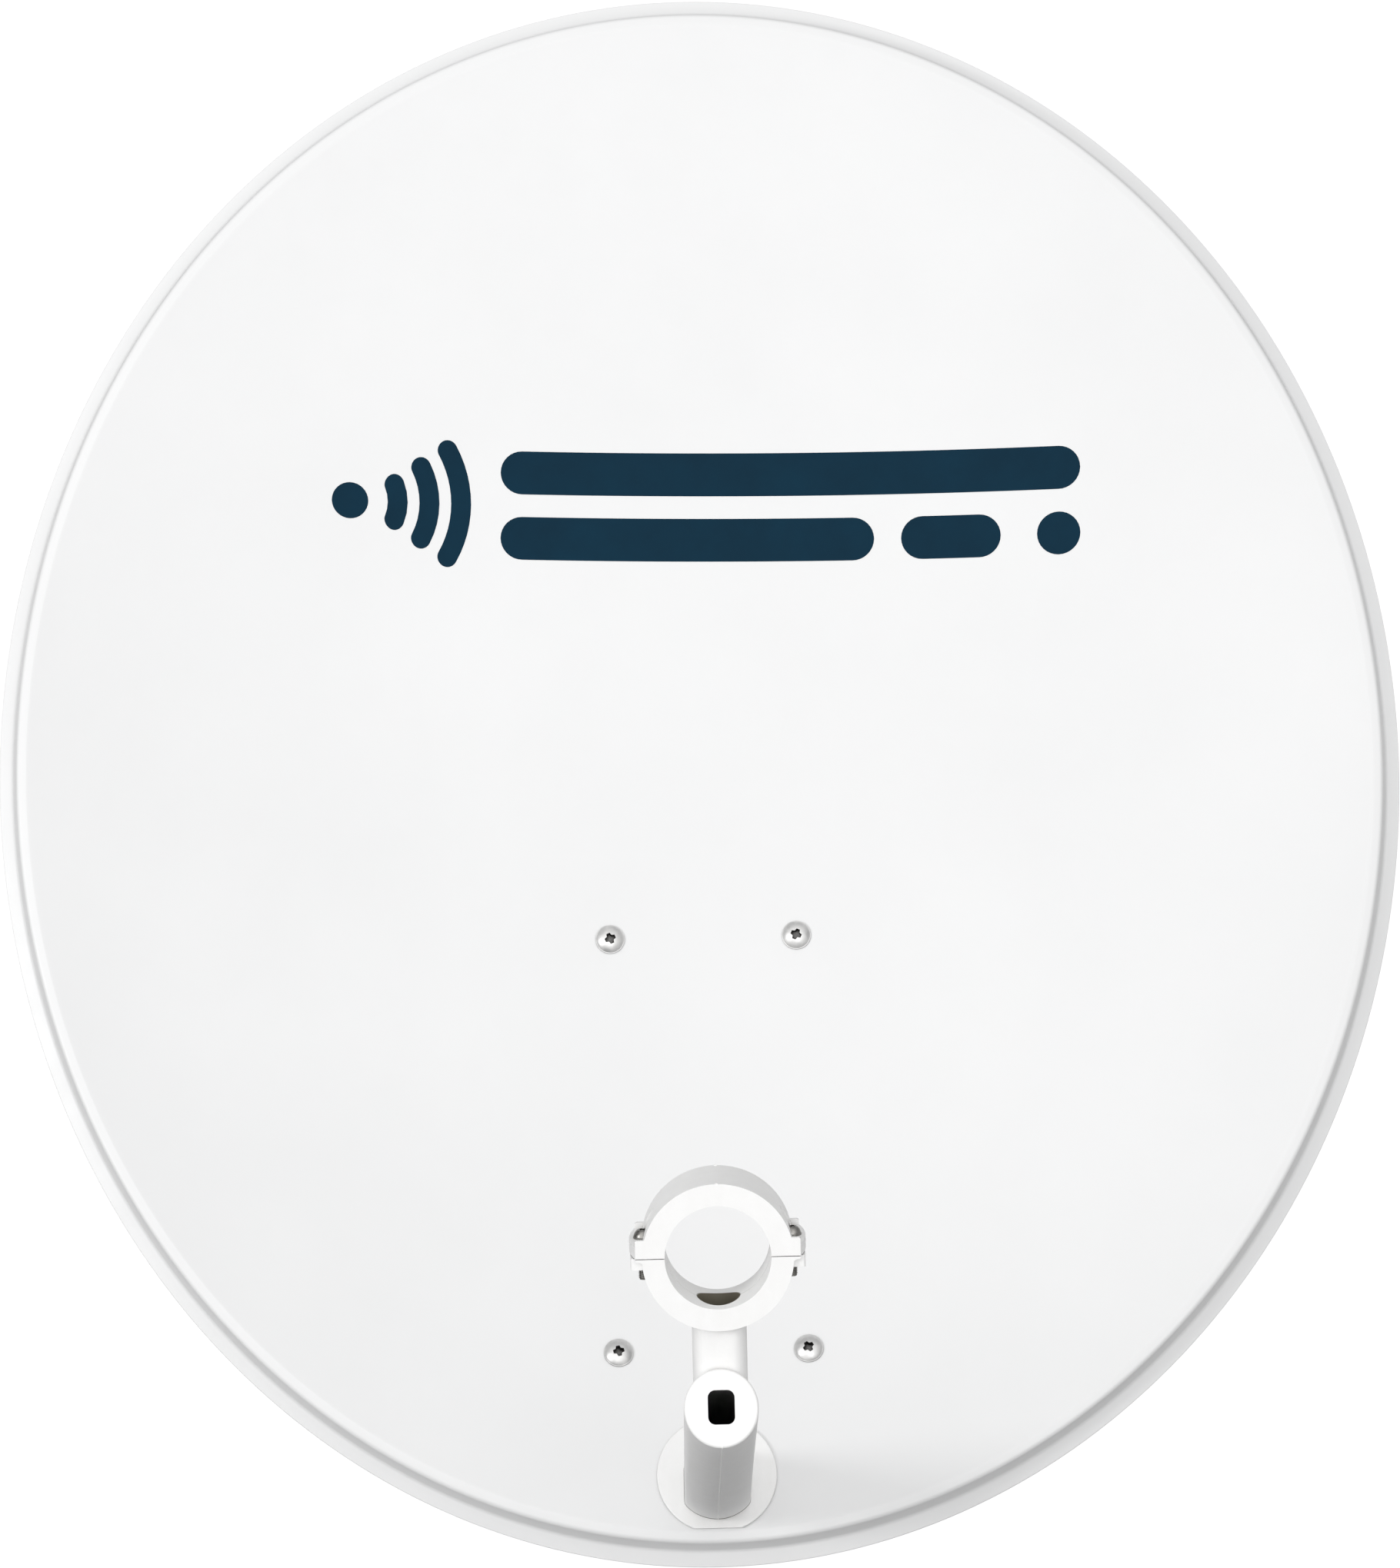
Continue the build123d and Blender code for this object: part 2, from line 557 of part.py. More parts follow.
# Upper half of the neck clamp: a half ring, and bulged ears with a wall before and behind each screw.
with BuildPart() as lnb_clamp_cap:
    with BuildSketch(RING.offset(-RING_HALF)):
        Circle(RING_R)
        with Locations((0, RING_R)):
            Rectangle(*NUB)
        with Locations((0, -RING_R)):
            Rectangle(2 * RING_R, 2 * RING_R + 2 * SEAM, mode=Mode.SUBTRACT)
    extrude(amount=2 * RING_HALF)
    with BuildSketch(RING_UP.offset(SEAM)):
        with BuildLine():
            ThreePointArc((EAR_BLOCK, -RING_HALF), (EAR_OUT, 0), (EAR_BLOCK, RING_HALF))
            Line((EAR_BLOCK, RING_HALF), (-EAR_BLOCK, RING_HALF))
            ThreePointArc((-EAR_BLOCK, RING_HALF), (-EAR_OUT, 0), (-EAR_BLOCK, -RING_HALF))
            Line((-EAR_BLOCK, -RING_HALF), (EAR_BLOCK, -RING_HALF))
        make_face()
    extrude(amount=EAR_SEAT - SEAM)
    with BuildSketch(RING_UP.offset(SEAM)):
        with Locations((0, EAR_WALL / 2 - RING_HALF), (0, RING_HALF - EAR_WALL / 2)):
            Rectangle(2 * EAR_BLOCK, EAR_WALL)
    extrude(amount=EAR_UP - SEAM)
    with BuildSketch(RING_UP.offset(EAR_SEAT)):
        with Locations((-EAR_X, 0), (EAR_X, 0)):
            Circle(HEAD_POCKET)
    extrude(amount=RING_R, mode=Mode.SUBTRACT)
    with BuildSketch(RING.offset(-RING_HALF - 1)):
        Circle(NECK_R)
    extrude(amount=2 * RING_HALF + 2, mode=Mode.SUBTRACT)
    with BuildSketch(RING.offset(-PARTING / 2)):
        Circle(NECK_R + PARTING)
    extrude(amount=PARTING, mode=Mode.SUBTRACT)
    with BuildSketch(RING_UP):
        with Locations((-EAR_X, 0), (EAR_X, 0)):
            Circle(M4 + 4 * CLEAR)
    extrude(amount=EAR_SEAT + 1, mode=Mode.SUBTRACT)
write(lnb_clamp_cap, "lnb_clamp_cap", RIM)

ear_axes = [
    Plane(origin=RING_UP.from_local_coords(Vector(x, 0, 0)), x_dir=(1, 0, 0), z_dir=RING_UP.z_dir)
    for x in (-EAR_X, EAR_X)
]
neck_screw = cross_screw(3.7, 3.5, 1.7, 3.2, M4, M4_LONG, 3.0)
lnb_clamp_screws = placed(neck_screw, [axis.offset(EAR_SEAT) for axis in ear_axes])
write(lnb_clamp_screws, "lnb_clamp_screws", RIM)

neck_nut = hex_nut(M4, M4_FLATS, M4_NUT)
lnb_clamp_nuts = placed(neck_nut, [axis.offset(NUT_POCKET - EAR_DOWN) for axis in ear_axes])
write(lnb_clamp_nuts, "lnb_clamp_nuts", RIM)

# ==== Mast side, drawn in the part's own frame ====

cheek_out = WEB_HALF - STEEL - CHEEK_GAP
cheek_in = cheek_out - PLATE
chord_up = RIM.from_local_coords(CHORD) - RIM.origin
lock_angle = degrees(atan2(-chord_up.Z, -chord_up.Y))
lock_at = Vector(*PIVOT) - chord_up * LOCK_R

lock_travel = CenterArc(
    (PIVOT[1], PIVOT[2]),
    LOCK_R,
    lock_angle - LIFT_RANGE[1] - SLOT_SPARE,
    LIFT_RANGE[1] - LIFT_RANGE[0] + 2 * SLOT_SPARE,
)

with BuildPart() as mast_bracket:
    with BuildSketch(Plane.XZ.offset(JAW_DEEP)):
        Rectangle(2 * cheek_out, 2 * MAST_HALF_TALL)
        RectangleRounded(*CUT_OUT, CUT_OUT_ROUND, mode=Mode.SUBTRACT)
        with GridLocations(2 * CLAMP_X, 2 * CLAMP_Z, 2, 2):
            Circle(M8 + 6 * CLEAR, mode=Mode.SUBTRACT)
    extrude(amount=PLATE)
    for side in (-1, 1):
        with BuildSketch(Plane.YZ.offset(side * cheek_out)):
            with Locations(
                (-JAW_DEEP - CORNER_R, MAST_HALF_TALL - CORNER_R),
                (-JAW_DEEP - CORNER_R, CORNER_R - MAST_HALF_TALL),
            ):
                Circle(CORNER_R)
            with Locations((PIVOT[1], PIVOT[2])):
                Circle(BOSS_R)
                for lift in LIFT_RANGE:
                    end = radians(lock_angle - lift)
                    with Locations((LOCK_R * cos(end), LOCK_R * sin(end))):
                        Circle(SLOT_WALL)
            make_hull()
            with Locations((PIVOT[1], PIVOT[2])):
                Circle(M8 + 2 * CLEAR, mode=Mode.SUBTRACT)
            SlotArc(lock_travel, 2 * SLOT_R, mode=Mode.SUBTRACT)
        extrude(amount=-side * PLATE)
write(mast_bracket, "mast_bracket")

# Elevation hinge and lock: bolt heads outside, nuts inside, on both sides.
m8_bolt = hex_bolt(M8, WEB_HALF + CLEAR + WASHER - cheek_in + WASHER + M8_NUT + 2, M8_FLATS, M8_HEAD)
m8_nut = hex_nut(M8, M8_FLATS, M8_NUT)
m8_washer = flat_washer(M8, 8.0, WASHER)


def on_both_sides(at, x):
    """Planes on both sides of the part, x from its middle, facing outwards."""
    return [
        Plane(origin=(side * x, at.Y, at.Z), x_dir=(0, 1, 0), z_dir=(side, 0, 0))
        for side in (-1, 1)
    ]


hinge_at = Vector(*PIVOT)
head_seat = WEB_HALF + CLEAR + WASHER
pivot_bolts = placed(m8_bolt, on_both_sides(hinge_at, head_seat))
write(pivot_bolts, "pivot_bolts")

pivot_nuts = placed(m8_nut, on_both_sides(hinge_at, cheek_in - WASHER))
write(pivot_nuts, "pivot_nuts")

pivot_seats = on_both_sides(hinge_at, head_seat) + on_both_sides(hinge_at, cheek_in)
pivot_washers = placed(m8_washer, pivot_seats)
write(pivot_washers, "pivot_washers")

lock_bolts = placed(m8_bolt, on_both_sides(lock_at, head_seat - CLEAR))
write(lock_bolts, "lock_bolts")

lock_nuts = placed(m8_nut, on_both_sides(lock_at, cheek_in - CLEAR - WASHER))
write(lock_nuts, "lock_nuts")

lock_seats = on_both_sides(lock_at, head_seat - CLEAR) + on_both_sides(lock_at, cheek_in - CLEAR)
lock_washers = placed(m8_washer, lock_seats)
write(lock_washers, "lock_washers")

# Cast jaws round the mast, drawn together by four bolts.
with BuildPart() as fixed_jaw:
    with BuildSketch(Plane.XY.offset(-JAW_TALL)):
        with Locations((0, -(JAW_DEEP + JAW_OPEN) / 2)):
            Rectangle(2 * JAW_HALF, JAW_DEEP - JAW_OPEN)
        Circle(MAST_R, mode=Mode.SUBTRACT)
    extrude(amount=2 * JAW_TALL)
    with BuildSketch(Plane.XZ):
        with GridLocations(2 * CLAMP_X, 2 * CLAMP_Z, 2, 2):
            Circle(M8 + 6 * CLEAR)
    extrude(amount=JAW_DEEP + 1, mode=Mode.SUBTRACT)
    chamfer(fixed_jaw.faces().sort_by(Axis.X)[0].edges().filter_by(Axis.Z), JAW_BEVEL)
    chamfer(fixed_jaw.faces().sort_by(Axis.X)[-1].edges().filter_by(Axis.Z), JAW_BEVEL)
write(fixed_jaw, "fixed_jaw")

with BuildPart() as moving_jaw:
    with BuildSketch(Plane.XY.offset(-JAW_TALL)):
        with BuildLine():
            Polyline(
                (-JAW_HALF, JAW_OPEN),
                (-JAW_HALF, JAW_FLANGE),
                (-JAW_CREST, JAW_FLANGE),
                (-JAW_CREST + 5, JAW_DEEP),
                (JAW_CREST - 5, JAW_DEEP),
                (JAW_CREST, JAW_FLANGE),
                (JAW_HALF, JAW_FLANGE),
                (JAW_HALF, JAW_OPEN),
                close=True,
            )
        make_face()
        Circle(MAST_R, mode=Mode.SUBTRACT)
    extrude(amount=2 * JAW_TALL)
    with BuildSketch(Plane.XZ):
        with GridLocations(2 * CLAMP_X, 2 * CLAMP_Z, 2, 2):
            Circle(M8 + 2 * CLEAR)
    extrude(amount=-JAW_DEEP - 1, mode=Mode.SUBTRACT)
    chamfer(moving_jaw.faces().sort_by(Axis.X)[0].edges().filter_by(Axis.Z), JAW_BEVEL)
    chamfer(moving_jaw.faces().sort_by(Axis.X)[-1].edges().filter_by(Axis.Z), JAW_BEVEL)
write(moving_jaw, "moving_jaw")


def clamp_planes(y, facing):
    """One plane on each clamp bolt's axis, facing along Y or against it."""
    return [
        Plane(origin=(x, y, z), x_dir=(1, 0, 0), z_dir=(0, facing, 0))
        for x in (-CLAMP_X, CLAMP_X)
        for z in (-CLAMP_Z, CLAMP_Z)
    ]


clamp_bolt = hex_bolt(M8, JAW_DEEP + PLATE + CLAMP_TAIL, M8_FLATS, M8_HEAD)
clamp_bolts = placed(clamp_bolt, clamp_planes(-JAW_DEEP - PLATE, -1))
write(clamp_bolts, "clamp_bolts")

clamp_washers = placed(m8_washer, clamp_planes(JAW_FLANGE, -1))
write(clamp_washers, "clamp_washers")

clamp_nuts = placed(m8_nut, clamp_planes(JAW_FLANGE + WASHER, -1))
write(clamp_nuts, "clamp_nuts")
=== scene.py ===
import json
from math import atan, atan2, cos, pi, radians, sin, sqrt, tan

import bmesh
import bpy
import numpy as np
from mathutils import Matrix, Vector


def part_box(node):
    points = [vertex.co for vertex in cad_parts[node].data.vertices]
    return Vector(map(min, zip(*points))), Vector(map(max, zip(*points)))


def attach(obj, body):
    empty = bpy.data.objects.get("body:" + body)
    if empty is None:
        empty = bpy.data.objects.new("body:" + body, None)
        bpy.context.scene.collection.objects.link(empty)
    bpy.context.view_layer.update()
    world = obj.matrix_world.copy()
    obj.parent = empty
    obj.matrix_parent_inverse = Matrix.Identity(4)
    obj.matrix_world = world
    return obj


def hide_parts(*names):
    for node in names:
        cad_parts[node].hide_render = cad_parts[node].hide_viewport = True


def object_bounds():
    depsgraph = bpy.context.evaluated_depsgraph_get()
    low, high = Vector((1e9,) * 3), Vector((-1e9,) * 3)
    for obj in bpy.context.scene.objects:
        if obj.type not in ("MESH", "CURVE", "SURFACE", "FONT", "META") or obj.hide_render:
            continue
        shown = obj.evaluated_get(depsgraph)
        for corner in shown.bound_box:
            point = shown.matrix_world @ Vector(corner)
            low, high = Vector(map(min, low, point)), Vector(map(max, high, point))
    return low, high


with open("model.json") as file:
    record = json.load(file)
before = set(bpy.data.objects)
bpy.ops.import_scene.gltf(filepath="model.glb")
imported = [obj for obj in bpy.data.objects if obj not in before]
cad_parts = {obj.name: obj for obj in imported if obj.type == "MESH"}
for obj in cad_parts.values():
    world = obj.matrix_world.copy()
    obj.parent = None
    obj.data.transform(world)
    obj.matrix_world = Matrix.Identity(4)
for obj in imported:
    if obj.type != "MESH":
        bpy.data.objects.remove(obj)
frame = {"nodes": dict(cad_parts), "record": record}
bpy.context.view_layer.update()
cad_low, cad_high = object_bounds()
nodes = frame["nodes"]

MM = 0.001

# ---- The rim frame: X right, Y up the rim's long axis, Z out of the bowl, in millimetres.
# Its place comes from the neck clamp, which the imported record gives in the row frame.
REST_LEAN = radians(10)
NECK_IN_RIM = (0, -261.6, 375.1)
RIM_RIGHT = Vector((1, 0, 0))
RIM_UP = Vector((0, sin(REST_LEAN), cos(REST_LEAN)))
RIM_OUT = Vector((0, -cos(REST_LEAN), sin(REST_LEAN)))
mounts = {m["name"]: m for m in frame["record"]["mounts"]}
RIM_CENTRE = (
    Vector(mounts["lnb_clamp"]["pos_m"])
    - RIM_UP * NECK_IN_RIM[1] * MM
    - RIM_OUT * NECK_IN_RIM[2] * MM
)

# ---- Bowl and rolled rim
FOCAL = 352.2
HALF_WIDTH = 293.5
LOWER_EDGE = 93.25
SHEET = 1.2
MIDDLE = LOWER_EDGE + HALF_WIDTH
TILT = atan(MIDDLE / (2 * FOCAL))
LONG_RATIO = 1 / cos(TILT)
RIM_CENTRE_Z = (LOWER_EDGE**2 + (MIDDLE + HALF_WIDTH) ** 2) / (8 * FOCAL)
AROUND = 288
BOWL_RINGS = 44
CREST_BLEND = 0.1  # mm, how softly the bowl turns over into the rim
CREST_FALL = 0.12  # how fast the crest drops beyond the bowl's edge
EDGE_STEPS = (-0.7, -0.45, -0.25, -0.1, 0.05, 0.2, 0.4, 0.7)  # rings from the bowl over the crest
FRONT_SHORT = 1.0  # the bowl's own rings end this far inside its edge, on the front
BACK_SHORT = 0.8  # and this far on the back

# The rolled rim's line, as (out from the bowl's edge, depth): crest, flange and back.
RIM_LINE = (
    (1.2, -0.14),
    (4.2, -0.5),
    (6.4, -10.1),
    (12.5, -12.0),
    (12.5, -13.2),
    (5.3, -11.2),
    (3.1, -1.8),
    (0.8, -1.42),
)
RIM_ROUNDS = (2.2, 2.2, 0.45, 0.45, 3.2, 1.1)

# ---- Camera, in the rim frame
CAMERA_AT = (-18.1, -600.0, 3000.0)
CAMERA_AIM = (-0.05, -9.8, 0.0)
CAMERA_ROLL = radians(-1.406)
LENS = 161.17


def to_row(u, v, w):
    """A point of the rim frame, in millimetres, in the row frame in metres."""
    return RIM_CENTRE + (RIM_RIGHT * u + RIM_UP * v + RIM_OUT * w) * MM


def bowl_depth(u, v):
    """Z of the bowl's front in the rim frame."""
    lean = MIDDLE + v * cos(TILT)
    b = 2 * lean * sin(TILT) + 4 * FOCAL * cos(TILT)
    c = lean**2 + u**2 - 4 * FOCAL * (RIM_CENTRE_Z + v * sin(TILT))
    return (b - np.sqrt(b**2 - 4 * sin(TILT) ** 2 * c)) / (2 * sin(TILT) ** 2)


def bowl_normal(u, v):
    """The bowl's normal towards the feed, in the rim frame."""
    w = bowl_depth(u, v)
    slope_u = u / (2 * FOCAL)
    slope_v = (MIDDLE + v * cos(TILT) - w * sin(TILT)) / (2 * FOCAL)
    normal = Vector((-slope_u, sin(TILT) - slope_v * cos(TILT), cos(TILT) + slope_v * sin(TILT)))
    return normal.normalized()


def bowl_front(u, v, over=0.0):
    """A point of the rim frame on the bowl's front, or over it along its normal."""
    return Vector((u, v, bowl_depth(u, v))) + bowl_normal(u, v) * over


# ==== Meshes ====


def mesh_piece(name, points, faces, body, material, crease=radians(32)):
    """A piece from points in the row frame, smooth up to the crease angle, faces outwards."""
    mesh = bpy.data.meshes.new(name)
    mesh.from_pydata([tuple(p) for p in points], [], faces)
    work = bmesh.new()
    work.from_mesh(mesh)
    bmesh.ops.remove_doubles(work, verts=work.verts, dist=1e-7)
    bmesh.ops.recalc_face_normals(work, faces=work.faces)
    work.to_mesh(mesh)
    work.free()
    mesh.shade_smooth()
    mesh.set_sharp_from_angle(angle=crease)
    mesh.materials.append(material)
    piece = bpy.data.objects.new(name, mesh)
    bpy.context.scene.collection.objects.link(piece)
    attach(piece, body)
    return piece


def rounded(points, radii, steps=7):
    """The line through these points with each corner turned in an arc."""
    line = [Vector(points[0])]
    for before, at, after, radius in zip(points, points[1:-1], points[2:], radii):
        at = Vector(at)
        back = (Vector(before) - at).normalized()
        on = (Vector(after) - at).normalized()
        half = back.angle(on) / 2
        centre = at + (back + on).normalized() * (radius / sin(half))
        start = at + back * (radius / tan(half)) - centre
        end = at + on * (radius / tan(half)) - centre
        turn = start.angle(end)
        for k in range(steps + 1):
            share = k / steps
            arm = start * sin((1 - share) * turn) + end * sin(share * turn)
            line.append(centre + arm / sin(turn))
    line.append(Vector(points[-1]))
    return line


def skin_rings():
    """The bowl's rings from the middle of its front to the middle of its back, as (kind, place)."""
    inwards = [-HALF_WIDTH * (1 - sin(k / BOWL_RINGS * pi / 2)) for k in range(1, BOWL_RINGS + 1)]
    rings = [("front", step - FRONT_SHORT) for step in inwards]
    rings += [("front", step) for step in EDGE_STEPS]
    rings += [("edge", corner) for corner in rounded(RIM_LINE, RIM_ROUNDS)]
    return rings + [("back", step - BACK_SHORT) for step in reversed(inwards)]


def skin_point(kind, place, turn):
    """The point of a ring at an angle round the rim."""
    out = HALF_WIDTH + (place[0] if kind == "edge" else place)
    u, v = out * cos(turn), out * sin(turn) * LONG_RATIO
    if kind == "edge":
        return u, v, place[1]
    if kind == "back":
        return bowl_front(u, v, -SHEET)
    crest = -CREST_FALL * place
    w = -CREST_BLEND * np.logaddexp(-bowl_depth(u, v) / CREST_BLEND, -crest / CREST_BLEND)
    return u, v, w


def reflector_mesh(material):
    """Front of the bowl, rolled rim and back of the bowl as one closed skin of rings."""
    rings = skin_rings()
    turns = [2 * pi * j / AROUND for j in range(AROUND)]
    points = [to_row(*skin_point(kind, place, turn)) for kind, place in rings for turn in turns]
    front_pole, back_pole = len(points), len(points) + 1
    points += [to_row(*bowl_front(0, 0)), to_row(*bowl_front(0, 0, -SHEET))]
    last = (len(rings) - 1) * AROUND
    faces = []
    for j in range(AROUND):
        on = (j + 1) % AROUND
        faces.append((front_pole, j, on))
        faces.append((back_pole, last + on, last + j))
        for i in range(len(rings) - 1):
            a, b = i * AROUND, (i + 1) * AROUND
            faces.append((a + j, b + j, b + on, a + on))
    piece = mesh_piece("reflector_skin", points, faces, "dish", material, pi)
    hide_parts("reflector")


# ---- Solids are (points, faces) in a local frame, in millimetres, until a frame places them.
THREAD_END = 0.8  # the rod's end, as a share of its radius
THREAD_LEAD = 0.15  # how much thinner the first turn starts
THREAD_DEPTH = 0.55  # of the pitch
THREAD_FLANK = 1.3  # over 1, so that the root is a flat land
HEX_FACE = 0.96  # the turned face, as a share of the width across flats
HEX_CHAMFER = radians(28)
WASHER_EASE = 0.15
BEVEL_FROM = radians(40)  # edges sharper than this are eased


def frame_in_rim(origin, right, out):
    """A local frame set in the rim frame: x along right, z along out."""
    right, out = Vector(right).normalized(), Vector(out).normalized()
    up = out.cross(right)
    return lambda x, y, z: to_row(*(Vector(origin) + right * x + up * y + out * z))


def frame_in_row(origin, right, out):
    """A local frame set in the row frame, whose origin is in metres."""
    right, out = Vector(right).normalized(), Vector(out).normalized()
    up = out.cross(right)
    return lambda x, y, z: Vector(origin) + (right * x + up * y + out * z) * MM


def joined(solids):
    """Several solids as one."""
    points, faces = [], []
    for some_points, some_faces in solids:
        base = len(points)
        points += some_points
        faces += [tuple(base + k for k in face) for face in some_faces]
    return points, faces


def set_at(solid, place):
    """A solid in the row frame, in metres."""
    points, faces = solid
    return [place(*p) for p in points], faces


def turned_about(solid, angle):
    """A solid turned about its own z."""
    points, faces = solid
    c, s = cos(angle), sin(angle)
    return [(x * c - y * s, x * s + y * c, z) for x, y, z in points], faces


def stacked(rings, close=False):
    """Rings of the same number of points, one above the other, closed by end faces or into a loop."""
    around = len(rings[0])
    points = [p for ring in rings for p in ring]
    faces = []
    last = len(rings) if close else len(rings) - 1
    for i in range(last):
        a, b = i * around, (i + 1) % len(rings) * around
        for j in range(around):
            on = (j + 1) % around
            faces.append((a + j, a + on, b + on, b + j))
    if not close:
        faces.append(tuple(reversed(range(around))))
        faces.append(tuple(range(len(points) - around, len(points))))
    return points, faces


def outline(points, z):
    """A ring of points at height z."""
    return [(x, y, z) for x, y in points]


def turned_line(radius, around, x=0.0):
    """A circle as (x, y) pairs, with its centre at x."""
    turns = [2 * pi * j / around for j in range(around)]
    return [(x + radius * cos(turn), radius * sin(turn)) for turn in turns]


def circle(radius, z, around=96):
    """A circle as a ring at height z."""
    return outline(turned_line(radius, around), z)


def thread(radius, pitch, low, high, around=36, steps=7):
    """A helical thread: a rod whose surface winds between its crest and its root."""
    rings = [circle(radius * THREAD_END, low, around)]
    count = int((high - low) / pitch * steps)
    for i in range(count + 1):
        z = low + (high - low) * i / count
        taper = min(1.0, (z - low) / pitch) * THREAD_LEAD + (1 - THREAD_LEAD)
        ring = []
        for j in range(around):
            phase = (z / pitch - j / around) % 1.0
            depth = THREAD_DEPTH * pitch * min(1.0, abs(2 * phase - 1) * THREAD_FLANK)
            r = (radius - depth) * taper
            turn = 2 * pi * j / around
            ring.append((r * cos(turn), r * sin(turn), z))
        rings.append(ring)
    return stacked(rings)


def hexed_ring(flats, z, chamfer_from, side, around):
    """A hexagon's ring at z, its corners turned down (side 1), up (-1) or left sharp (0)."""
    ring = []
    for j in range(around):
        turn = 2 * pi * j / around
        r = flats / 2 / cos(turn % (pi / 3) - pi / 6)
        lift = (r - chamfer_from) * tan(HEX_CHAMFER) * side
        ring.append((r * cos(turn), r * sin(turn), z - lift))
    return ring


def hexagon(flats, low, high, bore=0.0, both_ends=False, around=96):
    """A hexagon with its corners turned off, at the top or at both ends, and a bore."""
    chamfer_from = flats / 2 * HEX_FACE
    rings = [circle(chamfer_from, low, around)]
    rings.append(hexed_ring(flats, low, chamfer_from, -1 if both_ends else 0, around))
    rings.append(hexed_ring(flats, high, chamfer_from, 1, around))
    rings.append(circle(chamfer_from, high, around))
    if bore:
        rings = [circle(bore, low, around)] + rings + [circle(bore, high, around)]
    return stacked(rings, close=bool(bore))


def ring_washer(bore, outer, low, high):
    """A washer with its outer edges eased."""
    rings = [circle(bore, low), circle(outer - WASHER_EASE, low), circle(outer, low + WASHER_EASE)]
    rings += [circle(outer, high - WASHER_EASE), circle(outer - WASHER_EASE, high)]
    rings.append(circle(bore, high))
    return stacked(rings, close=True)


def as_object(solid):
    """A scratch object for the modifiers, with one Blender unit for each millimetre."""
    mesh = bpy.data.meshes.new("scratch")
    mesh.from_pydata([tuple(p) for p in solid[0]], [], solid[1])
    work = bmesh.new()
    work.from_mesh(mesh)
    bmesh.ops.recalc_face_normals(work, faces=work.faces)
    work.to_mesh(mesh)
    work.free()
    thing = bpy.data.objects.new("scratch", mesh)
    bpy.context.scene.collection.objects.link(thing)
    return thing


def combined(base, steps, bevel=0.0):
    """base with solids added or cut, each step being (operation, solid), and its edges eased."""
    thing = as_object(base)
    others = []
    for operation, solid in steps:
        other = as_object(solid)
        others.append(other)
        change = thing.modifiers.new("change", "BOOLEAN")
        change.operation = operation
        change.solver = "EXACT"
        change.object = other
    if bevel:
        ease = thing.modifiers.new("ease", "BEVEL")
        ease.width = bevel
        ease.segments = 2
        ease.limit_method = "ANGLE"
        ease.angle_limit = BEVEL_FROM
    bpy.context.view_layer.update()
    seen = thing.evaluated_get(bpy.context.evaluated_depsgraph_get())
    mesh = bpy.data.meshes.new_from_object(seen)
    points = [tuple(v.co) for v in mesh.vertices]
    faces = [tuple(f.vertices) for f in mesh.polygons]
    bpy.data.meshes.remove(mesh)
    for used in [thing] + others:
        scratch = used.data
        bpy.data.objects.remove(used)
        bpy.data.meshes.remove(scratch)
    return points, faces


# ---- Fasteners
FLANGE_SHARE = 0.24  # of a domed head's height
FLANGE_EASE = 0.12
FLANGE_FOOT = 0.14
DOME_FOOT = 0.03
DOME_RINGS = 22
DOME_POWER = 1.25  # how fast the dome draws in
TOP_RINGS = 9
TURNED_STEP = 0.012  # height of the turned marks
NECK_LONG = 0.5  # of the head's height
NECK_SHARE = 0.9  # of the shank's radius
RECESS_ARM = 0.16  # half an arm's width, of the recess's span
RECESS_HEART = 1.5  # where the inner corners are cut off, in half arms
RECESS_TAPER = 0.85
RECESS_FLOOR = 0.04  # of the head's height, so it stays clear of the sheet under the head
FACE_SHARE = 0.47  # radius of a bolt's washer face, of its width across flats
FACE_HIGH = 0.4
HEAD_FROM = 0.35  # the hexagon starts inside its washer face
SHANK_INTO = 0.2  # and the shank ends inside it


def cross_outline(recess):
    """The cross recess, with its inner corners cut off."""
    half, wide = recess / 2, recess * RECESS_ARM
    inner = wide * RECESS_HEART
    arm = [(half, -wide), (half, wide), (inner, inner)]
    turns = ((1, 0), (0, 1), (-1, 0), (0, -1))
    return [(x * c - y * s, x * s + y * c) for c, s in turns for x, y in arm]


def screw_head(head_r, dome_r, flat_r, height, shank_r):
    """A flange and a dome with fine turned marks, on a short neck."""
    flange = FLANGE_SHARE * height
    neck_r = shank_r * NECK_SHARE
    rings = [circle(neck_r, -NECK_LONG * height), circle(neck_r, 0.0)]
    rings += [circle(head_r - FLANGE_EASE, 0.0), circle(head_r, FLANGE_FOOT)]
    rings += [circle(head_r, flange - FLANGE_EASE), circle(head_r - FLANGE_EASE, flange)]
    rings.append(circle(dome_r, flange + DOME_FOOT))
    for i in range(1, DOME_RINGS + 1):
        share = i / DOME_RINGS
        r = dome_r + (flat_r - dome_r) * share**DOME_POWER
        z = flange + (height - flange) * sin(share * pi / 2)
        rings.append(circle(r, z + TURNED_STEP * (i % 2)))
    for i in range(1, TOP_RINGS):
        rings.append(circle(flat_r * (1 - i / TOP_RINGS), height + TURNED_STEP * (i % 2)))
    return stacked(rings)


def domed_screw(head_r, dome_r, flat_r, height, radius, pitch, length, recess):
    """A flanged dome with a cross recess, standing on z = 0, on a threaded shank."""
    cross = cross_outline(recess)
    narrow = [(x * RECESS_TAPER, y * RECESS_TAPER) for x, y in cross]
    socket = [outline(narrow, RECESS_FLOOR * height)]
    socket += [outline(cross, height + above) for above in (0.02, 1.0)]
    head = screw_head(head_r, dome_r, flat_r, height, radius)
    head = combined(head, [("DIFFERENCE", stacked(socket))])
    return joined([head, thread(radius, pitch, -length, -NECK_LONG * height)])


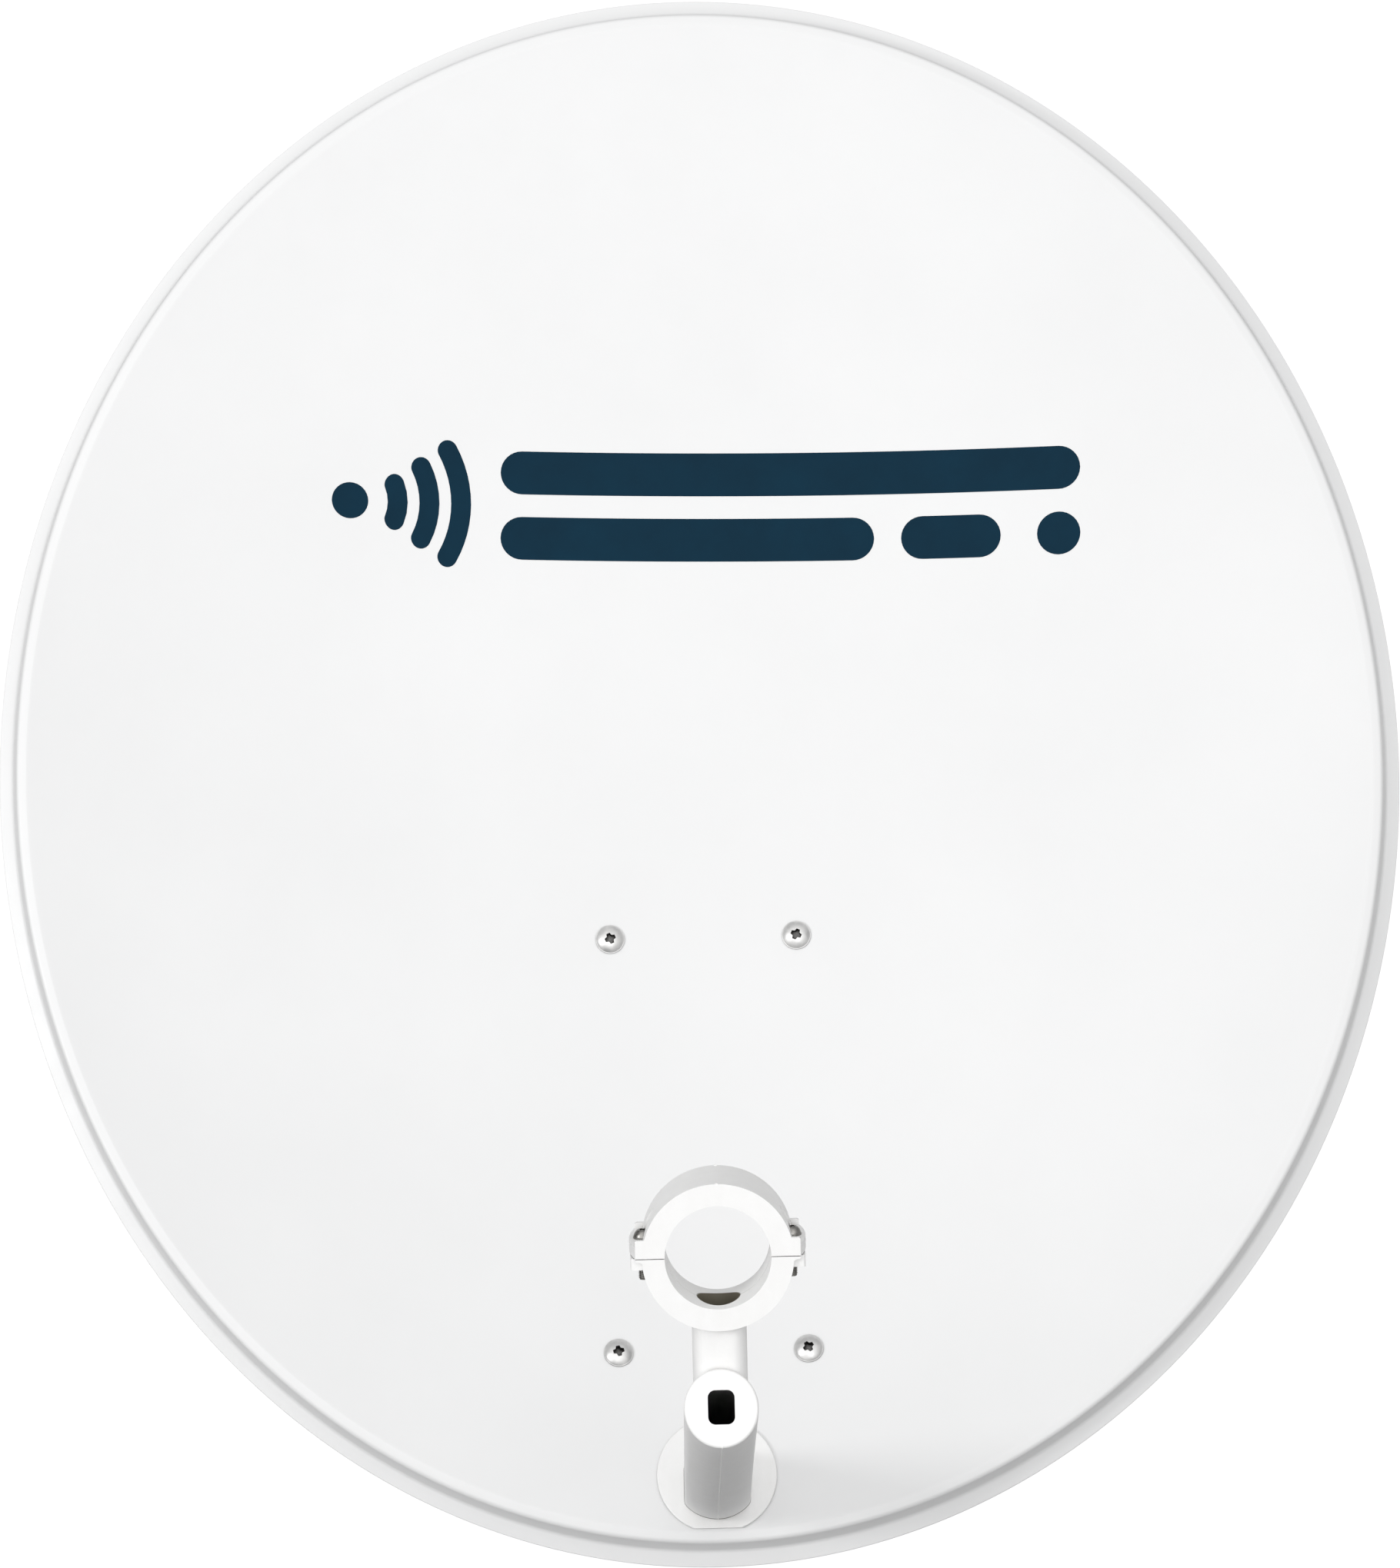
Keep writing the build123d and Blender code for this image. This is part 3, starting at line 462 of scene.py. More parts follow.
def hex_bolt(radius, pitch, length, flats, head):
    """A hexagon bolt on z = 0 with its washer face, and a threaded shank pointing down."""
    face = stacked([circle(flats * FACE_SHARE, 0.0), circle(flats * FACE_SHARE, FACE_HIGH)])
    shank = thread(radius, pitch, -length, SHANK_INTO)
    return joined([face, hexagon(flats, HEAD_FROM, head), shank])


def fasteners(node, body, solid_places, material):
    """One piece of copies of a solid, which stands for a node."""
    copies = [set_at(solid, place) for solid, place in solid_places]
    points, faces = joined(copies)
    piece = mesh_piece(node + "_turned", points, faces, body, material)
    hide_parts(node)
    return piece


SEAT_X = 41.1
SEAT_LOW = -254.7
SEAT_HIGH = -68.6
SEATS = [(u, v) for v in (SEAT_HIGH, SEAT_LOW) for u in (-SEAT_X, SEAT_X)]
SCREW_TURNS = (24, 64, 12, 33)  # how each recess came to rest, in degrees
CLAMP_SCREW_TURNS = (35, -20)
HEAD_GAP = 0.04
SEAL = 1.0
STEEL = 2.5
WASHER = 1.6
WASHER_BORE = 3.1
WASHER_R = 6.0
M6_NUT = 5.0
M6_FLATS = 10.0
M6_NUT_BORE = 3.05
PAST_NUT = 2.0  # how far a screw stands out of its nut


def bowl_frame(u, v, off):
    """A frame on the bowl, off along its normal, as the reflector's screws stand."""
    normal = bowl_normal(u, v)
    sideways = Vector((1, 0, 0)) - normal * normal.x
    return frame_in_rim(bowl_front(u, v, off), sideways, normal)


def bowl_fasteners(zinc):
    """The four screws through the bowl, with their washers and nuts behind the bracket."""
    back = SHEET + SEAL + STEEL
    screw = domed_screw(
        head_r=6.4,
        dome_r=6.1,
        flat_r=0.6,
        height=2.9,
        radius=3.0,
        pitch=1.0,
        length=back + WASHER + M6_NUT + PAST_NUT,
        recess=4.9,
    )
    turned = [turned_about(screw, radians(turn)) for turn in SCREW_TURNS]
    fronts = [bowl_frame(u, v, HEAD_GAP) for u, v in SEATS]
    fasteners("reflector_screws", "dish", zip(turned, fronts), zinc)
    washer = ring_washer(WASHER_BORE, WASHER_R, -WASHER, 0.0)
    backs = [bowl_frame(u, v, -back) for u, v in SEATS]
    fasteners("bracket_washers", "dish", [(washer, place) for place in backs], zinc)
    nut = hexagon(M6_FLATS, -WASHER - M6_NUT, -WASHER, M6_NUT_BORE, both_ends=True)
    fasteners("bracket_nuts", "dish", [(nut, place) for place in backs], zinc)


def sides_of(node, inner):
    """Frames on both sides of the mount that face outwards, at a node's outer or inner end."""
    low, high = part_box(node)
    y, z = (low[1] + high[1]) / 2, (low[2] + high[2]) / 2
    x = high[0] - inner * MM
    return [frame_in_row((side * x, y, z), (0, 1, 0), (side, 0, 0)) for side in (-1, 1)]


M8_R = 4.0
M8_PITCH = 1.25
M8_HEAD = 5.3
M8_NUT = 6.5
M8_NUT_BORE = 4.05
M8_FLATS = 13.0
SIDE_BOLT = 17.55  # length of the pivot and lock bolts
CLAMP_BOLT = 85.0


def mount_fasteners(zinc):
    """Bolts, washers and nuts of the elevation hinge, its lock and the mast clamp."""
    side_bolt = hex_bolt(M8_R, M8_PITCH, SIDE_BOLT, M8_FLATS, M8_HEAD)
    nut = hexagon(M8_FLATS, -M8_NUT, 0.0, M8_NUT_BORE, both_ends=True)
    for axis, body in (("pivot", "mast_mount"), ("lock", "dish")):
        heads = sides_of(axis + "_bolts", M8_HEAD)
        fasteners(axis + "_bolts", body, [(side_bolt, place) for place in heads], zinc)
        nuts = sides_of(axis + "_nuts", 0.0)
        fasteners(axis + "_nuts", body, [(nut, place) for place in nuts], zinc)
    low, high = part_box("clamp_bolts")
    nut_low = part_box("clamp_nuts")[0]
    # The heads' corners point sideways in the CAD node, and their flats up and down.
    reach_x = high[0] - M8_FLATS / 2 / cos(pi / 6) * MM
    reach_z = high[2] - M8_FLATS / 2 * MM
    corners = [(x, z) for x in (-reach_x, reach_x) for z in (-reach_z, reach_z)]
    bolt = hex_bolt(M8_R, M8_PITCH, CLAMP_BOLT, M8_FLATS, M8_HEAD)
    heads = [frame_in_row((x, low[1] + M8_HEAD * MM, z), (1, 0, 0), (0, -1, 0)) for x, z in corners]
    fasteners("clamp_bolts", "mast_mount", [(bolt, place) for place in heads], zinc)
    nuts = [frame_in_row((x, nut_low[1], z), (1, 0, 0), (0, -1, 0)) for x, z in corners]
    fasteners("clamp_nuts", "clamp_jaw", [(nut, place) for place in nuts], zinc)


# ---- Feed arm and neck clamp
FEED_TILT = radians(22.8)  # between the ring's axis and the rim's
ARM_DROOP = radians(1.1)
ARM_LOW = -314.6  # where the arm's line crosses the rim's plane
ARM_LENGTH = 372.0
ARM_X = 14.1  # half widths of the arm's section
ARM_Y = 14.9
ARM_ROUND = 4.0
ARM_WALL = 2.2
ARM_ARCH = 17.9  # radius of the arm's arched top and bottom
ARM_OVAL_FROM = 20.0  # the section turns oval between here and as far before the tip
ARM_DIR = Vector((0, -sin(ARM_DROOP), cos(ARM_DROOP)))
RIDGE = 0.25  # height of the mould line under the arm
RIDGE_HALVES = (0.35, 0.12)  # its half width at its foot and at its top
TIP_ROUND = 1.1
WINDOW = (10.1, 13.0)  # the opening in the arm's tip
WINDOW_ROUND = 2.8
WINDOW_UP = 0.45
WINDOW_DEEP = 5.0
SPIGOT_X = 12.0  # half widths of the foot that goes through the bowl
SPIGOT_Y = 13.0
SPIGOT_INTO = 15.0  # where it ends inside the arm
SEAT_LIFT = 0.7  # the arm's foot stands this far off the bowl
WEB_FRONT = -11.2  # the bracket's web, from the chord between the bowl's screws
NECK_R = 20.0
RING_R = 28.5
RING_HALF = 14.0
SEAM = 0.15  # half the gap between the clamp's halves
EAR_X = 28.0
EAR_OUT = 33.2  # the upper ears' reach where they bulge, and at their ends
EAR_BLOCK = 31.0
EAR_LOW_OUT = 32.8
EAR_WALL = 1.6
EAR_ROUND = 0.8
EAR_LOW_ROUND = 1.0
EAR_SEAT = 4.7
EAR_UP = 7.2
EAR_DOWN = 4.6
EAR_LIP = 1.2  # the lip in front of the lower ears, which turns down along the ring
LIP_DOWN = 6.0
LIP_ROUND = 0.5
LIP_FILLET = 3.0
GATE_FOOT = 0.9  # half widths of a gate mark, and how far it stands out of the ring
GATE_TOP = 0.4
GATE_OUT = 0.38
GATE_HALF = 0.4  # half its length, and how deep its foot is sunk
EAR_HOLE = 2.2
HEAD_POCKET = 4.4
NUT_POCKET = 1.8
NUT_CORNER = 4.16
STALK_R = 10.3
STALK_ROUND = 5.6
STALK_BORE = 8.2
STALK_LONG = 62.0
BORE_LINE = 0.22  # half the width of the fine line in the bore, and its depth
BORE_LINE_DEEP = 0.4
CAP_EASE = 0.16
ARM_EASE = 0.14
RIGHT = (1, 0, 0)
RING_OUT = (0, -sin(FEED_TILT), cos(FEED_TILT))

# The neck clamp is drawn in the ring's frame: x right, y up, z along the feed's axis.
RING_FRAME = frame_in_rim(NECK_IN_RIM, RIGHT, RING_OUT)


def curved(points, radii, steps=8):
    """A closed outline with each corner turned in an arc, as (x, y) pairs."""
    line = []
    count = len(points)
    for i, radius in enumerate(radii):
        before, at, after = points[i - 1], points[i], points[(i + 1) % count]
        if radius:
            at3 = [Vector((*p, 0.0)) for p in (before, at, after)]
            line += [(p.x, p.y) for p in rounded(at3, [radius], steps)[1:-1]]
        else:
            line.append(at)
    return line


def box_outline(half_x, half_y, radius):
    """A rounded rectangle as (x, y) pairs."""
    corners = [(half_x, -half_y), (half_x, half_y), (-half_x, half_y), (-half_x, -half_y)]
    return curved(corners, [radius] * 4)


def upright(outline_xz, low, high):
    """A prism along the ring's y from an outline in its x and z."""
    return stacked([[(x, y, z) for x, z in outline_xz] for y in (low, high)])


def along(outline_xy, low, high):
    """A prism along the ring's z from an outline in its x and y."""
    return stacked([outline(outline_xy, low), outline(outline_xy, high)])


def upright_rod(x, radius, low, high, around=64):
    """A rod along the ring's y."""
    return upright(turned_line(radius, around, x), low, high)


def half_ring(side, around=160):
    """Half of the ring, above or below the seam, without its bore."""
    edge = []
    tilt = SEAM / RING_R
    for k in range(around + 1):
        turn = (tilt + (pi - 2 * tilt) * k / around) * side
        edge.append((RING_R * cos(turn), RING_R * sin(turn)))
    return along(edge, -RING_HALF, RING_HALF)


def bore_cuts(around=256):
    """The bore, and the fine line in it where the mould halves met."""
    spans = ((NECK_R, RING_HALF + 1), (NECK_R + BORE_LINE_DEEP, BORE_LINE))
    return [stacked([circle(r, -half, around), circle(r, half, around)]) for r, half in spans]


def cap_ears(steps=24):
    """Both ears of the cap as one bar across it, whose ends bulge outwards."""
    bulge = []
    for k in range(steps + 1):
        z = -RING_HALF + 2 * RING_HALF * k / steps
        bulge.append((EAR_BLOCK + (EAR_OUT - EAR_BLOCK) * (1 - (z / RING_HALF) ** 2), z))
    return upright(bulge + [(-x, z) for x, z in reversed(bulge)], SEAM, EAR_SEAT)


def cap_walls():
    """The walls before and behind the screws, and the gate marks on the ring's crown."""
    wall = [(EAR_BLOCK, SEAM), (EAR_BLOCK, EAR_UP), (-EAR_BLOCK, EAR_UP), (-EAR_BLOCK, SEAM)]
    wall = curved(wall, [0, EAR_ROUND, EAR_ROUND, 0])
    solids = [along(wall, RING_HALF - EAR_WALL, RING_HALF)]
    solids.append(along(wall, -RING_HALF, EAR_WALL - RING_HALF))
    foot, top = RING_R - GATE_HALF, RING_R + GATE_OUT
    gate = [(GATE_FOOT, foot), (GATE_TOP, top), (-GATE_TOP, top), (-GATE_FOOT, foot)]
    for z in (GATE_HALF - RING_HALF, RING_HALF - GATE_HALF):
        solids.append(along(gate, z - GATE_HALF, z + GATE_HALF))
    return solids


def clamp_cap(material):
    """Upper half of the neck clamp: ring, bulged ears, and walls before and behind each screw."""
    cuts = [upright_rod(x, HEAD_POCKET, EAR_SEAT, RING_R) for x in (-EAR_X, EAR_X)] + bore_cuts()
    cuts += [upright_rod(x, EAR_HOLE, -1.0, EAR_SEAT + 1) for x in (-EAR_X, EAR_X)]
    steps = [("UNION", solid) for solid in [cap_ears()] + cap_walls()]
    steps += [("DIFFERENCE", solid) for solid in cuts]
    points, faces = set_at(combined(half_ring(1), steps, CAP_EASE), RING_FRAME)
    piece = mesh_piece("clamp_cap_moulding", points, faces, "lnb_cap", material)
    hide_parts("lnb_clamp_cap")


def arm_quarter(half, tall, arch, soft):
    """The section's corner between its flat side and its top: side, rounding and arch."""
    arch_y = tall - arch
    soft_y = arch_y + sqrt((arch - soft) ** 2 - (half - soft) ** 2)
    turn = atan2(soft_y - arch_y, half - soft)
    line = [(half, soft_y * k / 3) for k in (1, 2)]
    for k in range(8):
        at = turn * k / 7
        line.append((half - soft + soft * cos(at), soft_y + soft * sin(at)))
    for k in range(1, 12):
        at = turn + (pi / 2 - turn) * k / 12
        line.append((arch * cos(at), arch_y + arch * sin(at)))
    return line


def arm_outline(inset, ridge=0.0, ovality=0.0):
    """The arm's section: arched with flat sides, or oval, with a fine ridge along the bottom."""
    half, tall = ARM_X - inset, ARM_Y - inset
    quarter = []
    for x, y in arm_quarter(half, tall, ARM_ARCH - inset, max(ARM_ROUND - inset, 1.0)):
        at = atan2(y / tall, x / half)
        quarter.append((x + (half * cos(at) - x) * ovality, y + (tall * sin(at) - y) * ovality))
    top = [(half, 0.0)] + quarter + [(0.0, tall)] + [(-x, y) for x, y in reversed(quarter)]
    bottom = [(-half, 0.0)] + [(-x, -y) for x, y in quarter]
    if ridge:
        foot, crest = RIDGE_HALVES
        bottom += [(-foot, -tall), (-crest, -tall - ridge), (crest, -tall - ridge), (foot, -tall)]
    else:
        bottom.append((0.0, -tall))
    return top + bottom + [(x, -y) for x, y in reversed(quarter)]


def in_rim(solid, origin, right, out):
    """A solid in the rim frame, in millimetres."""
    right, out = Vector(right).normalized(), Vector(out).normalized()
    up = out.cross(right)
    points, faces = solid
    return [tuple(Vector(origin) + right * x + up * y + out * z) for x, y, z in points], faces


def slanted(outline_xy, at, normal):
    """A ring of the arm's frame that lies in a plane of the rim frame."""
    up = ARM_DIR.cross(Vector(RIGHT))
    ring = []
    for x, y in outline_xy:
        foot = Vector((0, ARM_LOW, 0)) + Vector(RIGHT) * x + up * y
        ring.append((x, y, (at - foot).dot(normal) / ARM_DIR.dot(normal)))
    return ring


def arm_tube():
    """The arm from its foot on the bowl to its rounded tip, in its own frame."""
    seat = bowl_front(0, ARM_LOW, SEAT_LIFT)
    rings = [slanted(arm_outline(0, RIDGE), seat, bowl_normal(0, ARM_LOW))]
    for k in range(1, 12):
        share = k / 12
        z = ARM_OVAL_FROM + (ARM_LENGTH - 2 * ARM_OVAL_FROM) * share
        rings.append(outline(arm_outline(0, RIDGE, share), z))
    for k in range(7):
        turn = pi / 2 * k / 6
        inset = TIP_ROUND * (1 - cos(turn))
        z = ARM_LENGTH - TIP_ROUND * (1 - sin(turn))
        rings.append(outline(arm_outline(inset, RIDGE, 1.0), z))
    return stacked(rings)


def spigot():
    """The arm's foot through the bowl, to the bracket's web."""
    low, high = [Vector((0, v, bowl_depth(SEAT_X, v))) for v in (SEAT_LOW, SEAT_HIGH)]
    chord = (high - low).normalized()
    normal = Vector((0, -chord.z, chord.y))
    shape = [(SPIGOT_X * x, SPIGOT_Y * y) for x, y in turned_line(1.0, 64)]
    web = slanted(shape, (low + high) / 2 + normal * WEB_FRONT, normal)
    return stacked([web, outline(shape, SPIGOT_INTO)])


def lower_clamp():
    """Stalk, half ring, ears and front lip of the neck clamp's lower half, in the ring's frame."""
    lip = [(EAR_BLOCK, -SEAM), (EAR_BLOCK, -EAR_LIP)]
    lip += [(RING_R - EAR_LIP, -EAR_LIP), (RING_R - EAR_LIP, -LIP_DOWN)]
    lip += [(-x, y) for x, y in reversed(lip)]
    lip = curved(lip, [0, LIP_ROUND, LIP_FILLET, 0, 0, LIP_FILLET, LIP_ROUND, 0])
    stalk = upright(box_outline(STALK_R, STALK_R, STALK_ROUND), -STALK_LONG, -NECK_R)
    ears = box_outline(EAR_LOW_OUT, RING_HALF - EAR_WALL, EAR_LOW_ROUND)
    ears = upright(ears, -EAR_DOWN, -SEAM)
    return [stalk, half_ring(-1), along(lip, RING_HALF - EAR_WALL, RING_HALF), ears]


def lower_clamp_cuts():
    """Bore, stalk duct, screw holes and nut pockets, in the ring's frame."""
    cuts = bore_cuts() + [upright_rod(0, STALK_BORE, -STALK_LONG, 0.0, 96)]
    for x in (-EAR_X, EAR_X):
        cuts.append(upright_rod(x, EAR_HOLE, -10.0, 0.5))
        cuts.append(upright_rod(x, NUT_CORNER, -EAR_DOWN - 1, NUT_POCKET - EAR_DOWN, 6))
    return cuts


def arm_cuts():
    """The arm's hollow, and the window in its tip, in the arm's frame."""
    foot, tip = arm_outline(ARM_WALL), arm_outline(ARM_WALL, 0, 1.0)
    hollow = stacked([outline(foot, -20.0), outline(tip, ARM_LENGTH - ARM_WALL)])
    window = box_outline(WINDOW[0] / 2, WINDOW[1] / 2, WINDOW_ROUND)
    window = [(x, y + WINDOW_UP) for x, y in window]
    ends = (ARM_LENGTH - WINDOW_DEEP, ARM_LENGTH + 1.0)
    return [hollow, stacked([outline(window, z) for z in ends])]


def feed_arm(material):
    """Arm, stalk and lower half of the neck clamp as one moulding."""
    arm_at = ((0, ARM_LOW, 0), RIGHT, ARM_DIR)
    ring_at = (NECK_IN_RIM, RIGHT, RING_OUT)
    steps = [("UNION", in_rim(spigot(), *arm_at))]
    steps += [("UNION", in_rim(solid, *ring_at)) for solid in lower_clamp()]
    steps += [("DIFFERENCE", in_rim(solid, *arm_at)) for solid in arm_cuts()]
    steps += [("DIFFERENCE", in_rim(solid, *ring_at)) for solid in lower_clamp_cuts()]
    points, faces = set_at(combined(in_rim(arm_tube(), *arm_at), steps, ARM_EASE), to_row)
    piece = mesh_piece("feed_arm_moulding", points, faces, "dish", material)
    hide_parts("feed_arm")


def clamp_screws(steel):
    """The two screws that draw the neck clamp shut."""
    screw = domed_screw(
        head_r=3.7,
        dome_r=3.55,
        flat_r=1.7,
        height=3.2,
        radius=2.0,
        pitch=0.7,
        length=16.0,
        recess=3.0,
    )
    up = Vector((0, cos(FEED_TILT), sin(FEED_TILT)))
    places = []
    for x in (-EAR_X, EAR_X):
        at = Vector(NECK_IN_RIM) + Vector((x, 0, 0)) + up * EAR_SEAT
        places.append(frame_in_rim(at, RIGHT, up))
    solids = [turned_about(screw, radians(turn)) for turn in CLAMP_SCREW_TURNS]
    fasteners("lnb_clamp_screws", "lnb_cap", zip(solids, places), steel)


# ---- Printed mark on the bowl: a signal sign and two lines, no lettering
MARK_AT = (5.6, 124.0)
MARK_TURN = radians(-1.4)
MARK_OVER = 0.12  # the film's upper and lower face, over the bowl's coat
MARK_UNDER = 0.02
SIGN_X = -157.5
# Each straight stroke: the middle's x and y, the length and half the width.
BARS = (
    (SIGN_X, 0.0, 16.0, 8.0),
    (37.5, 14.5, 257.0, 9.5),
    (-8.0, -14.5, 166.0, 9.5),
    (109.0, -14.5, 44.0, 9.5),
    (156.5, -14.5, 19.0, 9.5),
)
WAVE_RADII = (21.0, 35.0, 49.0)
WAVE_REACH = radians(34)
WAVE_HALF = 4.4


def stroke(length, half, place, steps_across=6):
    """Rows of points over a band with round ends; place(a, t) is the point a along and t across."""
    stations = []
    for turn in np.linspace(0.02, pi / 2, 9):
        stations.append((-length / 2 + half * (1 - cos(turn)), half * sin(turn)))
    ends = len(stations)
    straight = length - 2 * half
    if straight > 1:
        count = max(2, int(straight / 4))
        stations += [(-straight / 2 + straight * k / count, half) for k in range(1, count)]
    stations += [(-a, h) for a, h in reversed(stations[:ends])]
    shares = [2 * k / steps_across - 1 for k in range(steps_across + 1)]
    return [[place(a, h * share) for share in shares] for a, h in stations]


def bar(x, y, length, half):
    """A straight stroke of the mark."""
    return stroke(length, half, lambda a, t: (x + a, y + t))


def wave(radius):
    """One arc of the signal sign."""

    def place(a, t):
        return SIGN_X + (radius + t) * cos(a / radius), (radius + t) * sin(a / radius)

    return stroke(2 * WAVE_REACH * radius, WAVE_HALF, place)


def on_bowl(x, y, over):
    """A point of the mark, over the bowl's coat."""
    u = MARK_AT[0] + x * cos(MARK_TURN) - y * sin(MARK_TURN)
    v = MARK_AT[1] + x * sin(MARK_TURN) + y * cos(MARK_TURN)
    return to_row(*bowl_front(u, v, over))


def film(rows):
    """A stroke as a thin closed film that follows the bowl."""
    points = [on_bowl(x, y, over) for over in (MARK_OVER, MARK_UNDER) for row in rows for x, y in row]
    wide, count = len(rows[0]), len(rows) * len(rows[0])
    faces = []
    for i in range(len(rows) - 1):
        for k in range(wide - 1):
            a = i * wide + k
            faces.append((a, a + 1, a + wide + 1, a + wide))
            b = a + count
            faces.append((b, b + wide, b + wide + 1, b + 1))
    edge = [i * wide for i in range(len(rows))]
    edge += [(len(rows) - 1) * wide + k for k in range(1, wide)]
    edge += [i * wide + wide - 1 for i in range(len(rows) - 2, -1, -1)]
    edge += [k for k in range(wide - 2, 0, -1)]
    for p, q in zip(edge, edge[1:] + edge[:1]):
        faces.append((p, q, q + count, p + count))
    return points, faces


def printed_mark(material):
    """The mark: a dot, three waves and two broken lines."""
    strokes = [bar(*BARS[0])] + [wave(radius) for radius in WAVE_RADII]
    strokes += [bar(*line) for line in BARS[1:]]
    points, faces = joined([film(rows) for rows in strokes])
    return mesh_piece("printed_mark", points, faces, "dish", material)


# ==== Materials ====


class Finish:
    """A material round one Principled shader, with short ways to add its texture."""

    def __init__(self, name, roughness, metallic=0.0, specular=0.5):
        self.material = bpy.data.materials.new(name)
        self.material.use_nodes = True
        self.tree = self.material.node_tree
        self.shader = self.tree.nodes["Principled BSDF"]
        self.shader.inputs["Roughness"].default_value = roughness
        self.shader.inputs["Metallic"].default_value = metallic
        self.shader.inputs["Specular IOR Level"].default_value = specular
        self.place = self.tree.nodes.new("ShaderNodeTexCoord").outputs["Object"]

    def node(self, kind, inputs=(), **settings):
        """A node with some inputs set or joined to sockets."""
        made = self.tree.nodes.new(kind)
        for key, value in settings.items():
            setattr(made, key, value)
        for key, value in dict(inputs).items():
            if isinstance(value, bpy.types.NodeSocket):
                self.tree.links.new(value, made.inputs[key])
            else:
                made.inputs[key].default_value = value
        return made

    def stretched(self, scale, turn=(0, 0, 0)):
        """The place on the object, stretched before it reaches a texture."""
        inputs = {"Vector": self.place, "Scale": scale, "Rotation": turn}
        return self.node("ShaderNodeMapping", inputs).outputs[0]

    def noise(self, scale, detail=2.0, roughness=0.5, vector=None):
        """Cloudy noise from 0 to 1; a larger scale makes it finer."""
        inputs = {"Vector": vector or self.place, "Scale": scale}
        inputs.update({"Detail": detail, "Roughness": roughness})
        return self.node("ShaderNodeTexNoise", inputs).outputs["Fac"]

    def cells(self, scale, vector=None, output="Distance"):
        """Irregular cells: the distance to each one's middle, or its own colour."""
        inputs = {"Vector": vector or self.place, "Scale": scale}
        return self.node("ShaderNodeTexVoronoi", inputs).outputs[output]

    def openness(self, reach):
        """How open a place is: 1 in the open, towards 0 deep in a hollow of this size in metres."""
        return self.node("ShaderNodeAmbientOcclusion", {"Distance": reach}, samples=8).outputs["AO"]

    def maths(self, operation, a, b=0.0):
        """One step of arithmetic on numbers or sockets."""
        return self.node("ShaderNodeMath", {0: a, 1: b}, operation=operation).outputs[0]

    def vectors(self, operation, output, a, b):
        """One step of arithmetic on vectors."""
        return self.node("ShaderNodeVectorMath", {0: a, 1: b}, operation=operation).outputs[output]

    def spread(self, value, low, high, to_low=0.0, to_high=1.0):
        """A value's span from low to high, drawn out over another span and held at its ends."""
        inputs = {"Value": value, "From Min": low, "From Max": high}
        inputs.update({"To Min": to_low, "To Max": to_high})
        return self.node("ShaderNodeMapRange", inputs).outputs["Result"]

    def blend(self, share, a, b):
        """A colour between a and b."""
        made = self.node("ShaderNodeMix", data_type="RGBA")
        sockets = [s for s in made.inputs if s.type == "RGBA"]
        for socket, value in zip(sockets, (a, b)):
            if isinstance(value, bpy.types.NodeSocket):
                self.tree.links.new(value, socket)
            else:
                socket.default_value = (*value, 1)
        self.tree.links.new(share, made.inputs["Factor"])
        return [s for s in made.outputs if s.type == "RGBA"][0]

    def use(self, colour=None, roughness=None, heights=()):
        """Joins the textures to the shader. heights is a list of (height, metres, strength)."""
        if colour is not None:
            self.tree.links.new(colour, self.shader.inputs["Base Color"])
        if roughness is not None:
            self.tree.links.new(roughness, self.shader.inputs["Roughness"])
        normal = None
        for height, distance, strength in heights:
            inputs = {"Height": height, "Distance": distance, "Strength": strength}
            bump = self.node("ShaderNodeBump", inputs)
            if normal is not None:
                self.tree.links.new(normal, bump.inputs["Normal"])
            normal = bump.outputs["Normal"]
        if normal is not None:
            self.tree.links.new(normal, self.shader.inputs["Normal"])
        return self.material


def powder_coat():
    """White polyester powder on steel: soft gloss, orange peel, faint clouds."""
    f = Finish("powder_coat", 0.4)
    clouds = f.noise(7.0, 4.0, 0.55)
    peel = f.noise(520.0, 2.5, 0.45)
    speck = f.spread(f.noise(2600.0, 1.0), 0.68, 0.8)
    tone = f.blend(f.spread(clouds, 0.3, 0.7), (0.80, 0.802, 0.804), (0.83, 0.832, 0.834))
    tone = f.blend(f.maths("MULTIPLY", speck, 0.12), tone, (0.70, 0.705, 0.71))
    rough = f.spread(f.noise(60.0, 3.0), 0.3, 0.7, 0.36, 0.46)
    return f.use(tone, rough, [(clouds, 0.0006, 0.1), (peel, 0.00003, 0.5)])


def mark_ink():
    """Screen-printed petrol blue, a little uneven under the light."""
    f = Finish("mark_ink", 0.5, specular=0.06)
    film = f.noise(45.0, 4.0, 0.6)
    tone = f.blend(f.spread(film, 0.3, 0.7), (0.0030, 0.024, 0.046), (0.0045, 0.030, 0.056))
    rough = f.spread(film, 0.3, 0.7, 0.45, 0.6)
    return f.use(tone, rough, [(f.noise(900.0, 2.0), 0.00002, 0.4)])


DUCT_SHADE_FROM = (-17.6, -18.8)  # how far below the ring's middle the duct's painted shade starts and is full
DUCT_SHADE_TO = (-45.0, -42.0)  # and where it is gone again, and last full
DUCT_SHADE_WALL = (0.35, 0.15)  # the same for the depth into the wall


